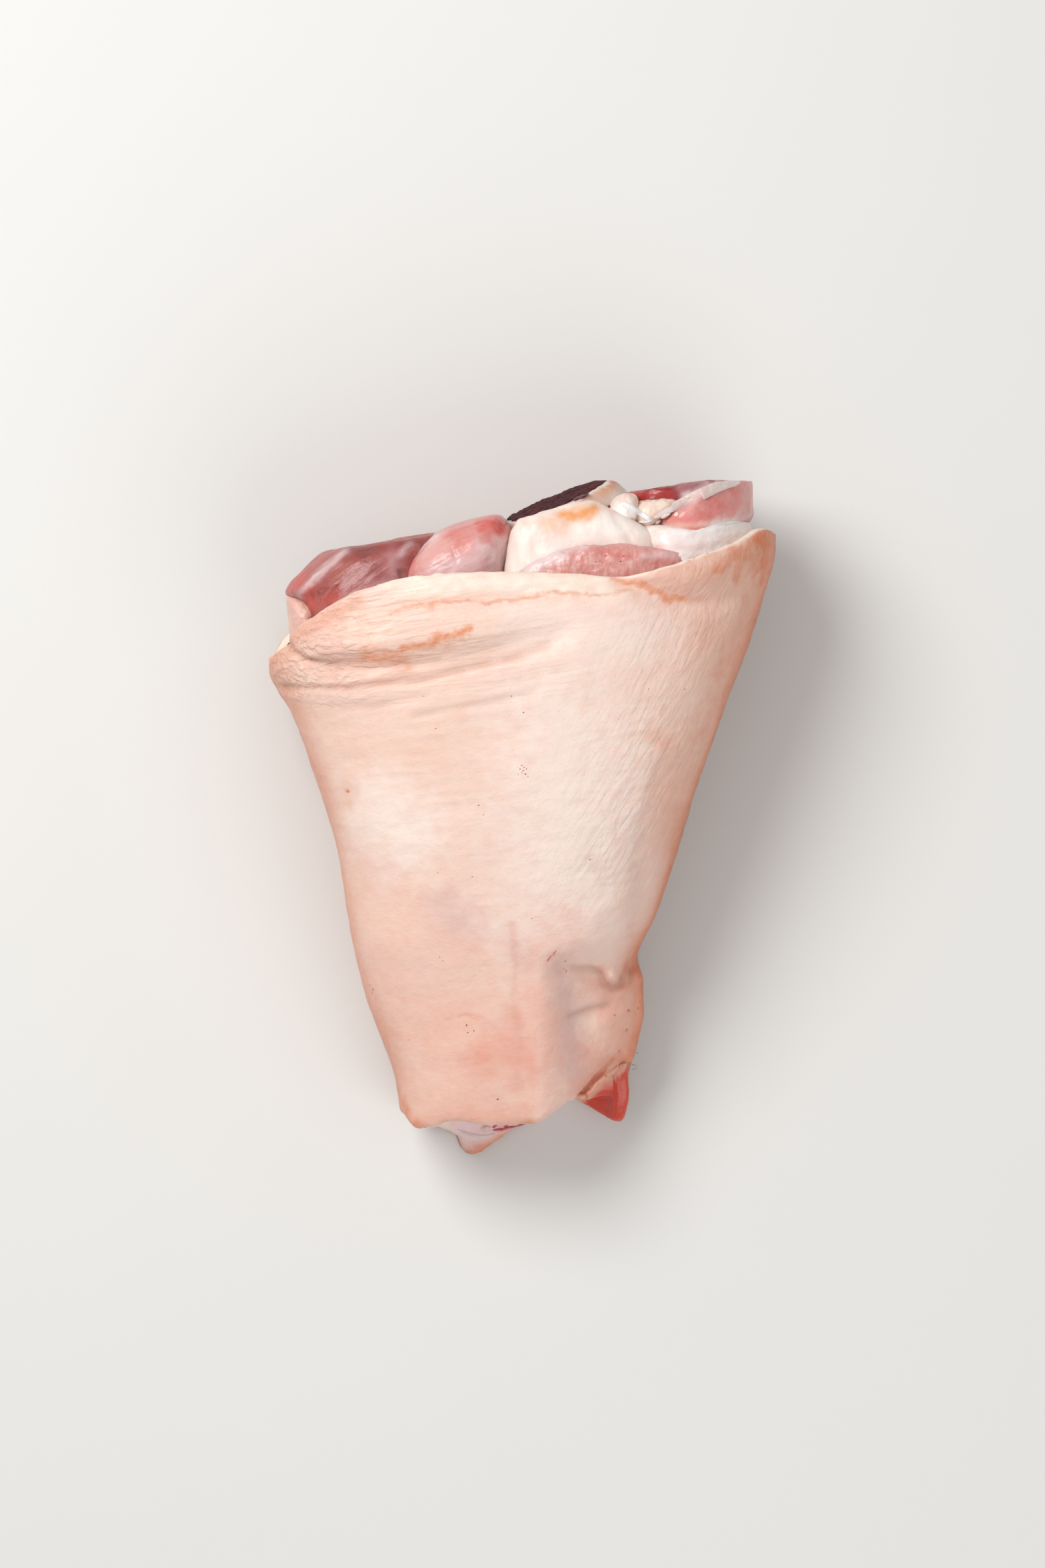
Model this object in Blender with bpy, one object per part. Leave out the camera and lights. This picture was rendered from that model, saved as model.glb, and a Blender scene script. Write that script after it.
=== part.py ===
"""A raw pork knuckle with its rind on, lying on its broad side.

The sawn upper end points to +Y and the hock end to -Y; X runs across the leg and Z up from where the
underside rests. There are two solids: the knuckle, which is the meat with its fat and rind in one piece, and
the leg bone that runs through it and shows at both cuts. Sizes below are in millimetres and are turned into
metres where a mesh is made.
"""

import math

import bmesh
import bpy
from mathutils import Matrix, Vector, noise

MM = 0.001

# ---------------------------------------------------------------------------------------------------------
# Driving dimensions, in millimetres
# ---------------------------------------------------------------------------------------------------------
CENTRING = Vector((0.016, 0.565, 0.0))  # puts the origin under the middle of the whole

# Outline of the rind seen from above, as (Y, X). It runs on past the hem of the collar, because the meat that
# stands out there keeps within it.
LEFT_EDGE = [
    (-107, -38.2), (-95, -38.4), (-84.7, -39.7), (-71.3, -43.9), (-57.9, -48.9), (-44.4, -52.5),
    (-27.6, -55.4), (-7.5, -59.2), (12.7, -65.1), (32.9, -72.9), (40, -77.2), (47, -80), (70, -81.4),
]
RIGHT_EDGE = [
    (-107, 35.6), (-90, 35), (-81.4, 33.8), (-78, 34.4), (-71.3, 36.1), (-61.2, 38), (-52, 37.7),
    (-44.4, 36.2), (-31, 42.2), (-20.9, 45.6), (-7.5, 49.8), (9.3, 54.8), (22.8, 59.6), (39.6, 65.3),
    (56.4, 71.8), (69.8, 76), (79.9, 79), (89, 80), (99, 79),
]
HEIGHT = [
    (-107, 40), (-90, 47), (-70, 53), (-40, 62), (-10, 71.5), (20, 79.5), (50, 85.5), (75, 86.5), (105, 80),
]
WIDEST_LEVEL = 0.44  # share of the height at which a section is widest

# How square each quarter of a section is: 2 is an ellipse.
SQUARENESS = {"right_top": 2.6, "left_top": 2.8, "left_under": 3.0, "right_under": 2.8}

FLOOR_SINK = 2.6  # the round underside is flattened by this much where it rests
FLOOR_SOFTNESS = 1.6  # rounding where the underside meets the floor
UNEVENNESS = 0.55  # depth of the rind's soft lumps
UNEVEN_SIZE = 26.0  # and how far apart they are
RIND_THICKNESS = 4.0  # rind and the fat under it, where a hem shows it
RIM_ROUND = 1.3  # how far a hem's edge is rounded off

# The rind's hems as (X, Y), each on the side that faces up and on the side that lies down.
COLLAR_HEM_UP = [
    (-79.5, 49.5), (-72, 56.6), (-64, 62.9), (-47, 71.5), (-30, 75.3), (-5, 76.5), (16, 76.2), (33, 74.9),
    (48, 78.2), (58, 81.6), (69, 86), (77, 90.4), (80, 89),
]
COLLAR_HEM_UNDER = [(-79.5, 49.5), (-70, 60), (-50, 70), (-20, 78), (10, 82), (40, 86), (70, 90), (80, 89)]
HOCK_HEM_UP = [
    (-38.5, -93.5), (-34.2, -98.2), (-28, -97.2), (-23, -95.8), (-10, -97), (4, -96.4), (12, -92),
    (16.4, -89.1), (21.4, -88.9), (26.7, -84.7), (31.7, -81), (35, -78),
]
HOCK_HEM_UNDER = [
    (-38.5, -93.5), (-32, -96.6), (-27, -98.6), (-21.8, -101.2), (-19.4, -106.2), (-17.2, -106.8),
    (-10, -103), (-3, -98.6), (6, -93.5), (16.4, -88.2), (22, -91), (28.4, -94.6), (31.8, -96.4),
    (33.6, -92), (35, -78),
]
HEM_BLEND = 0.2  # the two sides of a hem run into each other within this share of a section's height

# Folds and hollows of the upper side: (points as (X, Y), half width, depth); a ridge has a negative depth.
FOLDS = {
    "roll": ([(-78, 49), (-58, 52), (-36, 57), (-12, 60)], 8.0, -2.2),
    "roll_foot": ([(-78, 43), (-55, 45.5), (-36, 46.7), (-17, 49.3), (0, 53.5), (12, 56.6)], 4.6, 3.0),
    "roll_lip": ([(-72, 55), (-66, 50.2), (-56, 48.6), (-46, 48.5)], 3.2, 1.6),
    "hem_band": ([(-46, 66), (-30, 67.6), (-10, 67.8), (14, 69.5), (33, 72), (42, 70)], 3.4, 0.8),
    "lobe_foot": ([(33, 74), (42.5, 69.8), (50, 67.5), (60, 67.5), (70, 71.5), (77, 76.5)], 4.5, 2.4),
    "lobe": ([(44, 76), (58, 76), (70, 81)], 7.0, -1.6),
    "second_fold": ([(-38, 38.4), (-17, 40.5), (1.5, 43), (14, 45.5)], 3.6, 0.8),
    "shin_hollow": ([(7.6, -47), (12, -53.7), (14.5, -58), (14.8, -65), (14.6, -72), (15.4, -80)], 4.2, 2.6),
    "notch_bump": ([(27, -49), (29.5, -50.5)], 4.5, -2.6),
    "notch_fold": ([(38, -42), (33, -48), (30.7, -52.6), (27.7, -54.8), (23.4, -50.5), (14, -48)], 2.6, 2.4),
    "heel_fold": ([(15, -65), (23.5, -61.8), (32, -58)], 2.6, 1.3),
    "flap_fold": ([(16.5, -89), (23, -81.5), (29.5, -75)], 2.4, 2.2),
}
FOLD_REACH = 3.0  # a fold is felt this many half widths away
FOLD_END = 0.12  # how far into its rise a fold already is at its ends
SIDE_FADE = 0.45  # folds fade out below this share of the height over the widest level
SHELF_DEPTH = 9.0  # the heel's side lies this far below the shin
SHELF_EDGE = (8.5, 19.0)  # and falls away over this span of X
SHELF_RANGE = (-38.0, -53.0)  # from nothing at the first Y to all of it at the second
BAND_DROP = 2.2  # the collar's hem is cut at a slant, so that its fat shows: how far it drops
BAND_WIDTH = 6.5  # and how wide that slant is
BAND_SPAN = (-52.0, -34.0, 22.0, 36.0)  # X where it begins, is full, is still full and ends

# The two mouths of the rind.
HOCK_CENTRE = Vector((-4.0, -91.2, 21.0))  # middle of the cut face in the hock end
HOCK_FACE_Y = -88.2  # Y of that face's rim
HOCK_RECESS = 3.0  # least depth of the face's rim behind the hem
HOCK_WALL = 1.6  # how much the mouth narrows from the hem's inner edge to the face
COLLAR_CENTRE = Vector((2.0, 68.4, 42.0))  # middle of the upper mouth's floor, which the meat covers
COLLAR_RECESS = 13.0  # depth of that floor's rim behind the hem
COLLAR_WALL = 1.2
MOUTH_LIP = 0.7  # the hem's inner edge lies this far behind its outer edge

# The muscles, fat and gristle that stand out of the collar. Each is a rounded lump: centre, half sizes, turn
# in degrees about Z, squareness, and how far its sawn end stands from the saw cut.
SAW_Y = 94.4  # where the saw cut crosses X = 0
SAW_SLOPE = 0.154  # and how much it climbs in Y for each millimetre of X
SAW_SOFTNESS = 2.4  # rounding of a lump's sawn edge
LUMPS = {
    "core": ((2, 58, 41), (72, 40, 37), 8, 2.8, -6.0),
    "flank_muscle": ((-43, 56, 38), (34, 32, 34), 0, 2.3, 1.0),
    "flank_fat": ((-66, 52, 36), (16, 18.5, 27), 8, 2.3, -6.0),
    "oval_muscle": ((-21, 69.5, 54), (19.5, 26.5, 24.5), -22, 2.2, 2.0),
    "gristle": ((17.5, 78, 57), (23.5, 20.5, 17), 8, 3.0, -2.6),
    "gristle_knob": ((33.5, 90, 56), (6, 10, 10), -10, 2.2, 0.4),
    "pocket_muscle": ((27, 66, 66), (31, 18.5, 14), 2, 2.4, 2.0),
    "white_band": ((58, 69, 62), (21, 21.5, 17), 6, 2.6, -9.5),
    "side_muscle": ((59, 78, 48), (20, 29, 22), -3, 2.6, 1.0),
    "deep_muscle": ((43, 80, 38), (19, 28, 21), 4, 2.9, 2.4),
    "under_left": ((-27, 62, 22.5), (28, 30, 18), 6, 2.5, -0.7),
    "under_right": ((14, 70, 18), (30, 28, 14), 8, 2.5, 0.5),
}
TUCK = 0.925  # the meat keeps within this share of the rind's outer section
TUCK_SOFTNESS = 0.05

# The bone: stations along the leg as (Y, X, Z, half width, half thickness), hock end first.
BONE_STATIONS = [
    (-93, -6, 21, 11.5, 9), (-82, -6, 21, 12, 9.5), (-60, -4, 24, 10, 8.5), (-20, 2, 31, 9.5, 8.5),
    (20, 7, 38, 11, 10), (48, 11, 44, 14, 13.5), (68, 13, 49, 18, 17.5), (84, 13.8, 50, 20, 19),
    (97, 14, 50, 20.2, 19), (102, 14, 49.5, 18, 18), (107.5, 13.6, 49, 12.4, 15),
]
BONE_SAW_POINT = Vector((9.0, 98.3, 50.0))  # a point of the plane in which the bone's end was sawn
BONE_SAW_NORMAL = Vector((-0.38, 0.915, 0.12)).normalized()
BONE_SAW_FROM = 60.0  # Y past which that plane applies
BONE_SAW_SOFTNESS = 1.2
BONE_END = 0.84  # the rim of each end, as a share of the bone's own half sizes
BONE_CORNERS = 0.07  # how far the shaft's three blunt edges stand out
BONE_CORNER_TURN = 0.8  # where the first of them is, in radians
BONE_CLEARANCE = 0.35  # between the bone and its seat in the meat

# Mesh counts, and how the rings spread along the rind: closer together at folds and hems.
AROUND_UP = 50
AROUND_UNDER = 30
RINGS_ALONG = 42
RING_SPREAD = [(0.0, 0.0), (0.12, 0.10), (0.21, 0.20), (0.41, 0.335), (0.60, 0.60), (0.72, 0.74), (1.0, 1.0)]
HOCK_RINGS = 5
COLLAR_RINGS = 3
LUMP_SEGMENTS = 20
LUMP_RINGS = 12
BONE_SEGMENTS = 20
BONE_RINGS = 24

COLOURS = {"knuckle": (0.86, 0.62, 0.52), "bone": (0.87, 0.78, 0.68)}
ROUGHNESS = {"knuckle": 0.45, "bone": 0.55}
SHARP_ANGLE = math.radians(40)


# ---------------------------------------------------------------------------------------------------------
# Curves and sections
# ---------------------------------------------------------------------------------------------------------
def spline(knots):
    """A smooth function through (x, value) knots that doesn't overshoot between them."""
    xs = [float(knot[0]) for knot in knots]
    ys = [float(knot[1]) for knot in knots]
    steps = [(ys[i + 1] - ys[i]) / (xs[i + 1] - xs[i]) for i in range(len(xs) - 1)]
    slopes = [steps[0]]
    for before, after in zip(steps, steps[1:]):
        slopes.append(0.0 if before * after <= 0 else 2 * before * after / (before + after))
    slopes.append(steps[-1])

    def value(x):
        x = min(max(x, xs[0]), xs[-1])
        i = max(n for n in range(len(xs) - 1) if n == 0 or xs[n] <= x)
        gap = xs[i + 1] - xs[i]
        rise = ys[i + 1] - ys[i]
        t = (x - xs[i]) / gap
        bend_in = gap * slopes[i] - rise
        bend_out = rise - gap * slopes[i + 1]
        return ys[i] + t * rise + t * (1 - t) * (bend_in * (1 - t) + bend_out * t)

    return value


LEFT = spline(LEFT_EDGE)
RIGHT = spline(RIGHT_EDGE)
TOP = spline(HEIGHT)
SPREAD = spline(RING_SPREAD)
COLLAR_UP = spline(COLLAR_HEM_UP)


def smooth_step(low, high, value):
    """0 up to low, 1 from high on, and an even S between them; low may be the larger."""
    t = min(max((value - low) / (high - low), 0.0), 1.0)
    return t * t * (3 - 2 * t)


def soft_minimum(value, limit, softness):
    """The smaller of the two, with a rounded corner between them."""
    t = min(max(0.5 + 0.5 * (limit - value) / softness, 0.0), 1.0)
    return limit * (1 - t) + value * t - softness * t * (1 - t)


def hem_curve(knots_up, knots_under):
    """A function from a place of the unit section to a hem's Y, from the knots of its two sides."""
    low, high = knots_up[0][0], knots_up[-1][0]
    side_up, side_under = spline(knots_up), spline(knots_under)

    def value(across, up):
        x = (low + high) / 2 + (high - low) / 2 * across
        share = min(max(0.5 + 0.5 * up / HEM_BLEND, 0.0), 1.0)
        return share * side_up(x) + (1 - share) * side_under(x)

    return value


COLLAR_HEM = hem_curve(COLLAR_HEM_UP, COLLAR_HEM_UNDER)
HOCK_HEM = hem_curve(HOCK_HEM_UP, HOCK_HEM_UNDER)


def squareness(across, up):
    """How square a section is in the quarter that a place of it lies in."""
    return SQUARENESS[("right" if across >= 0 else "left") + ("_top" if up >= 0 else "_under")]


def unit_section(turn):
    """The point (across, up) of a squared-off circle of radius 1 at a turn of 0 to 1."""
    across = math.cos(2 * math.pi * turn)
    up = math.sin(2 * math.pi * turn)
    power = squareness(across, up)
    reach = (abs(across) ** power + abs(up) ** power) ** (-1 / power)
    return across * reach, up * reach


def skin_point(across, up, y):
    """The rind's outer surface at a place of the unit section and a Y, before its relief."""
    middle = (LEFT(y) + RIGHT(y)) / 2
    half = (RIGHT(y) - LEFT(y)) / 2
    level = TOP(y) * WIDEST_LEVEL
    rise = TOP(y) - level if up >= 0 else level + FLOOR_SINK
    return Vector((middle + half * across, y, level + rise * up))


def distance_to_path(x, y, points):
    """How far (x, y) is from a chain of points, and how far along it, 0 to 1, the nearest place is."""
    best = math.inf
    along = 0.0
    for i, ((ax, ay), (bx, by)) in enumerate(zip(points, points[1:])):
        dx, dy = bx - ax, by - ay
        t = min(max(((x - ax) * dx + (y - ay) * dy) / (dx * dx + dy * dy), 0), 1)
        gap = math.hypot(x - ax - t * dx, y - ay - t * dy)
        if gap < best:
            best = gap
            along = (i + t) / (len(points) - 1)
    return best, along


def relief(x, y):
    """How deep the folds and hollows of the upper side are at (x, y)."""
    depth = SHELF_DEPTH * smooth_step(*SHELF_EDGE, x) * smooth_step(*SHELF_RANGE, y)
    begins, full, still, ends = BAND_SPAN
    slant = smooth_step(begins, full, x) * smooth_step(ends, still, x)
    depth += BAND_DROP * slant * smooth_step(-BAND_WIDTH, 0.0, y - COLLAR_UP(x))
    for points, half_width, fold_depth in FOLDS.values():
        gap, along = distance_to_path(x, y, points)
        if gap < FOLD_REACH * half_width:
            strength = math.sqrt(math.sin(math.pi * (FOLD_END + (1 - 2 * FOLD_END) * along)))
            depth += fold_depth * strength * math.exp(-((gap / half_width) ** 2))
    return depth


def rind_point(across, up, y):
    """The rind's outer surface with its relief and unevenness, never below the floor."""
    point = skin_point(across, up, y)
    uneven = UNEVENNESS * noise.noise(point / UNEVEN_SIZE)
    point.z += 2 * uneven * up
    point.x += uneven * across
    if up > 0:
        point.z -= relief(point.x, point.y) * min(1.0, up / SIDE_FADE)
    point.z = -soft_minimum(-point.z, 0.0, FLOOR_SOFTNESS)
    return point


# ---------------------------------------------------------------------------------------------------------
# Meshes
# ---------------------------------------------------------------------------------------------------------
def mapped_sphere(name, segments, rings, place):
    """A closed mesh whose points are those of a sphere, each put where place(segment, ring) says."""
    mesh = bmesh.new()
    bmesh.ops.create_uvsphere(mesh, u_segments=segments, v_segments=rings, radius=1.0)
    for vertex in mesh.verts:
        ring = round(math.acos(min(max(vertex.co.z, -1), 1)) / math.pi * rings)
        segment = round(math.atan2(vertex.co.y, vertex.co.x) / (2 * math.pi) * segments) % segments
        vertex.co = (place(segment, ring) + CENTRING) * MM
    bmesh.ops.recalc_face_normals(mesh, faces=mesh.faces)
    if mesh.calc_volume(signed=True) < 0:
        bmesh.ops.reverse_faces(mesh, faces=mesh.faces)
    data = bpy.data.meshes.new(name)
    mesh.to_mesh(data)
    mesh.free()
    return bpy.data.objects.new(name, data)


def towards(point, centre):
    """The way from a point to a centre, across the leg only."""
    return Vector((centre.x - point.x, 0, centre.z - point.z))


def mouth(hem, centre, step, steps):
    """A mouth of the rind: in over the hem's edge, then back to its floor and to the floor's middle."""
    inwards = towards(hem, centre)
    at_hock = centre is HOCK_CENTRE
    if step == 1:
        lip = MOUTH_LIP if at_hock else -MOUTH_LIP
        return hem + inwards.normalized() * RIND_THICKNESS + Vector((0, lip, 0))
    if at_hock:
        rim_y = max(hem.y + HOCK_RECESS, HOCK_FACE_Y)
        start = RIND_THICKNESS + HOCK_WALL
    else:
        rim_y = hem.y - COLLAR_RECESS
        start = RIND_THICKNESS + COLLAR_WALL
    share = (step - 2) / (steps - 2)
    reach = start / inwards.length * (1 - share) + share
    return Vector((hem.x + inwards.x * reach, rim_y + (centre.y - rim_y) * share, hem.z + inwards.z * reach))


def rind_place(segment, ring):
    """Where the rind's mesh has its points: out from the hock's face, along the leg and in at the collar."""
    if segment <= AROUND_UP:
        turn = 0.5 * segment / AROUND_UP
    else:
        turn = 0.5 + 0.5 * (segment - AROUND_UP) / AROUND_UNDER
    across, up = unit_section(turn)
    low = HOCK_HEM(across, up)
    high = COLLAR_HEM(across, up)
    along = ring - HOCK_RINGS
    if along < 0:
        return mouth(rind_point(across, up, low), HOCK_CENTRE, -along, HOCK_RINGS)
    if along > RINGS_ALONG:
        return mouth(rind_point(across, up, high), COLLAR_CENTRE, along - RINGS_ALONG, COLLAR_RINGS)
    point = rind_point(across, up, low + (high - low) * SPREAD(along / RINGS_ALONG))
    if along == 0:
        point += towards(point, HOCK_CENTRE).normalized() * RIM_ROUND
    elif along == RINGS_ALONG:
        point += towards(point, COLLAR_CENTRE).normalized() * RIM_ROUND
    return point


def tucked(point):
    """The point, moved in towards the leg's middle where it would come out through the rind."""
    middle = (LEFT(point.y) + RIGHT(point.y)) / 2
    half = (RIGHT(point.y) - LEFT(point.y)) / 2
    level = TOP(point.y) * WIDEST_LEVEL
    across = (point.x - middle) / half
    up = (point.z - level) / (TOP(point.y) - level if point.z >= level else level)
    power = squareness(across, up)
    size = max((abs(across) ** power + abs(up) ** power) ** (1 / power), TUCK_SOFTNESS)
    keep = soft_minimum(size, TUCK, TUCK_SOFTNESS) / size
    return Vector((middle + (point.x - middle) * keep, point.y, level + (point.z - level) * keep))


def lump(name, centre, half_sizes, turn, power, stand_out):
    """A rounded lump of meat with its far end sawn off along the upper saw cut."""
    turned = Matrix.Rotation(math.radians(turn), 3, "Z")

    def place(segment, ring):
        round_it = 2 * math.pi * segment / LUMP_SEGMENTS
        along_it = math.pi * ring / LUMP_RINGS
        ray = Vector((math.sin(along_it) * math.cos(round_it), math.cos(along_it),
                      math.sin(along_it) * math.sin(round_it)))
        size = sum(abs(part) ** power for part in ray) ** (-1 / power)
        point = Vector(centre) + turned @ Vector([part * half for part, half in zip(ray * size, half_sizes)])
        point.y = soft_minimum(point.y, SAW_Y + SAW_SLOPE * point.x + stand_out, SAW_SOFTNESS)
        return tucked(point)

    return mapped_sphere(name, LUMP_SEGMENTS, LUMP_RINGS, place)


def bone_shape(name, grow):
    """The leg bone, each half size larger by grow: a shaft that flares into the knuckle's head, sawn off."""
    tracks = [spline([(station[0], station[n]) for station in BONE_STATIONS]) for n in range(1, 5)]
    first = BONE_STATIONS[0][0] - grow
    last = BONE_STATIONS[-1][0] + grow

    def place(segment, ring):
        angle = 2 * math.pi * segment / BONE_SEGMENTS
        share = min(max((ring - 1) / (BONE_RINGS - 2), 0), 1)
        y = first + (last - first) * share
        x, z, half_width, half_thickness = (track(y) for track in tracks)
        size = 1 + BONE_CORNERS * math.cos(3 * angle + BONE_CORNER_TURN)
        if ring in (0, BONE_RINGS):
            size = 0.0
        elif ring in (1, BONE_RINGS - 1):
            size *= BONE_END
        point = Vector((x + size * (half_width + grow) * math.cos(angle), y,
                        z + size * (half_thickness + grow) * math.sin(angle)))
        if y > BONE_SAW_FROM:
            beyond = (point - BONE_SAW_POINT).dot(BONE_SAW_NORMAL) - grow
            point -= BONE_SAW_NORMAL * (beyond - soft_minimum(beyond, 0.0, BONE_SAW_SOFTNESS))
        return point

    return mapped_sphere(name, BONE_SEGMENTS, BONE_RINGS, place)


# ---------------------------------------------------------------------------------------------------------
# The object
# ---------------------------------------------------------------------------------------------------------
def material(name):
    """A plain material of the piece's own colour."""
    made = bpy.data.materials.new(name)
    made.use_nodes = True
    shader = made.node_tree.nodes["Principled BSDF"]
    shader.inputs["Base Color"].default_value = (*COLOURS[name], 1.0)
    shader.inputs["Roughness"].default_value = ROUGHNESS[name]
    shader.inputs["Metallic"].default_value = 0.0
    return made


def collection(name):
    """A new collection in the scene."""
    made = bpy.data.collections.new(name)
    bpy.context.scene.collection.children.link(made)
    return made


def fill_pockets(data):
    """Fills the small closed pockets that a union leaves between lumps, by taking out their inner walls."""
    mesh = bmesh.new()
    mesh.from_mesh(data)
    unseen = set(mesh.verts)
    shells = []
    while unseen:
        front = [unseen.pop()]
        shell = []
        while front:
            vertex = front.pop()
            shell.append(vertex)
            linked = {edge.other_vert(vertex) for edge in vertex.link_edges} & unseen
            unseen -= linked
            front.extend(linked)
        shells.append(shell)
    shells.sort(key=len)
    pockets = [vertex for shell in shells[:-1] for vertex in shell]
    bmesh.ops.delete(mesh, geom=pockets, context="VERTS")
    mesh.to_mesh(data)
    mesh.free()


def apply_boolean(target, operation, helpers):
    """Joins or cuts target with all the objects of a collection, applies it, and removes those objects."""
    modifier = target.modifiers.new(operation.lower(), "BOOLEAN")
    modifier.operation = operation
    modifier.operand_type = "COLLECTION"
    modifier.collection = helpers
    modifier.solver = "EXACT"
    graph = bpy.context.evaluated_depsgraph_get()
    done = bpy.data.meshes.new_from_object(target.evaluated_get(graph))
    target.modifiers.clear()
    target.data = done
    for helper in list(helpers.objects):
        bpy.data.objects.remove(helper)


def build():
    """Makes the knuckle and its bone."""
    for thing in list(bpy.data.objects):
        bpy.data.objects.remove(thing)
    parts = collection("pork_knuckle")
    joined = collection("joined")
    cutters = collection("cutters")
    rings = HOCK_RINGS + RINGS_ALONG + COLLAR_RINGS
    knuckle = mapped_sphere("knuckle", AROUND_UP + AROUND_UNDER, rings, rind_place)
    parts.objects.link(knuckle)
    for name, values in LUMPS.items():
        joined.objects.link(lump(name, *values))
    apply_boolean(knuckle, "UNION", joined)
    fill_pockets(knuckle.data)
    seat = bone_shape("bone_seat", BONE_CLEARANCE)
    seat.hide_render = True
    seat.display_type = "WIRE"
    cutters.objects.link(seat)
    apply_boolean(knuckle, "DIFFERENCE", cutters)
    bone = bone_shape("bone", 0.0)
    parts.objects.link(bone)
    for piece in (knuckle, bone):
        piece.data.materials.clear()
        piece.data.materials.append(material(piece.name))
        piece.data.shade_smooth()
        piece.data.set_sharp_from_angle(angle=SHARP_ANGLE)


build()
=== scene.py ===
"""The looks of a raw pork knuckle with its rind on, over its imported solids.

The sawn upper end points to +Y and the hock end to -Y; X runs across the leg and Z up from where the
underside rests. Sizes are in millimetres, and become metres where a mesh is made.
"""

import logging
import math
from dataclasses import dataclass, field
from enum import Enum
from typing import Any, Callable, Sequence

import bmesh
import bpy
import numpy as np
from mathutils import Euler, Matrix, Vector, noise
from mathutils.bvhtree import BVHTree


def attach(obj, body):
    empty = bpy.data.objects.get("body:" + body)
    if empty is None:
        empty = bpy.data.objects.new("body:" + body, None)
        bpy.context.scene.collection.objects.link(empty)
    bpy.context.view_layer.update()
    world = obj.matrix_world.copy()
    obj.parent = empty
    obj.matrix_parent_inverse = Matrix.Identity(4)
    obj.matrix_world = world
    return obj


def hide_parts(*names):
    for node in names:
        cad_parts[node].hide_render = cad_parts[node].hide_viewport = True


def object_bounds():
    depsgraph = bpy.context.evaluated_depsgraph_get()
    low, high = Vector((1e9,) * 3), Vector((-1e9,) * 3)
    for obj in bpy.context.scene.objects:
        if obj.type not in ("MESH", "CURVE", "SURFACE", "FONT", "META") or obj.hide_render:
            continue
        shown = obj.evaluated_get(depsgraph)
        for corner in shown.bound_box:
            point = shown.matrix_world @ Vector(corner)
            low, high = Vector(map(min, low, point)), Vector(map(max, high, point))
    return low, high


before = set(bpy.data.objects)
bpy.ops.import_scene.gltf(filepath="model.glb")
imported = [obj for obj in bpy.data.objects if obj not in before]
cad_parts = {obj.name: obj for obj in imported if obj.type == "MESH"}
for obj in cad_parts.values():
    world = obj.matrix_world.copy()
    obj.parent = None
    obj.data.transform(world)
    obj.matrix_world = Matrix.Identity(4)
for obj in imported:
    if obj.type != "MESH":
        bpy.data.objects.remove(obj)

LOG = logging.getLogger("pork_knuckle")
MM = 0.001
CAD_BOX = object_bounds()
CENTRING = np.array((0.016, 0.565, 0.0))  # puts the origin under the middle of the whole

Array = np.ndarray
Pair = tuple[float, float]
Chain = tuple[Pair, ...]
Colour = tuple[float, float, float]
Triple = tuple[float, float, float]
Window = tuple[float, float, float, float]


def srgb(red: int, green: int, blue: int) -> Colour:
    """A colour as the eye names it, 0 to 255, as the linear light that a shader works in."""
    shares = (channel / 255 for channel in (red, green, blue))
    return tuple(((s + 0.055) / 1.055) ** 2.4 if s > 0.04045 else s / 12.92 for s in shares)


def derived() -> Any:
    """A dataclass field that its class works out for itself."""
    return field(init=False, repr=False, compare=False)


# ---------------------------------------------------------------------------------------------------------
# Curves and fields, worked out for many points at once
# ---------------------------------------------------------------------------------------------------------
class Spline:
    """A smooth line through knots that doesn't overshoot between them."""

    def __init__(self, knots: Sequence[tuple[float, float]]) -> None:
        """Works out the slope at each knot.

        Args:
            knots: (place, value) pairs in rising order of place.
        """
        table = np.array(knots, float)
        self.xs = table[:, 0]
        self.ys = table[:, 1]
        steps = np.diff(self.ys) / np.diff(self.xs)
        before, after = steps[:-1], steps[1:]
        same_way = before * after > 0
        total = np.where(same_way, before + after, 1.0)
        inner = np.where(same_way, 2 * before * after / total, 0.0)
        self.slopes = np.concatenate([steps[:1], inner, steps[-1:]])

    def __call__(self, x: Array) -> Array:
        """The line's values.

        Args:
            x: Places; beyond the ends, the end's value holds.

        Returns:
            One value for each place.
        """
        x = np.clip(x, self.xs[0], self.xs[-1])
        i = np.clip(np.searchsorted(self.xs, x, side="right") - 1, 0, len(self.xs) - 2)
        gap = self.xs[i + 1] - self.xs[i]
        rise = self.ys[i + 1] - self.ys[i]
        t = (x - self.xs[i]) / gap
        bend_in = gap * self.slopes[i] - rise
        bend_out = rise - gap * self.slopes[i + 1]
        return self.ys[i] + t * rise + t * (1 - t) * (bend_in * (1 - t) + bend_out * t)


def round_outline(knots: Chain, turn: Array) -> tuple[Array, Array]:
    """A smooth closed line through knots.

    Args:
        knots: Its (X, Y) knots, once round.
        turn: Places on it, 0 to 1 once round.

    Returns:
        X and Y of the places.
    """
    table = np.array(knots, float)
    at = (turn % 1.0) * len(table)
    i = np.floor(at).astype(int)
    t = (at - i)[:, None]
    before, start, end, after = (table[(i + n) % len(table)] for n in (-1, 0, 1, 2))
    bend = (2 * before - 5 * start + 4 * end - after) * t + (3 * (start - end) + after - before) * t * t
    line = start + 0.5 * t * (end - before + bend)
    return line[:, 0], line[:, 1]


def smooth_step(low: float, high: float, value: Array) -> Array:
    """0 up to low, 1 from high on, and an even S between them; low may be the larger."""
    t = np.clip((value - low) / (high - low), 0.0, 1.0)
    return t * t * (3 - 2 * t)


def window(span: Window, value: Array) -> Array:
    """0 outside the first and last of four rising values, and 1 between the two in the middle."""
    begins, full, still, ends = span
    return smooth_step(begins, full, value) * smooth_step(ends, still, value)


def soft_minimum(value: Array, limit: Array | float, softness: float) -> Array:
    """The smaller of the two, with a rounded corner between them."""
    t = np.clip(0.5 + 0.5 * (limit - value) / softness, 0.0, 1.0)
    return limit * (1 - t) + value * t - softness * t * (1 - t)


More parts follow.
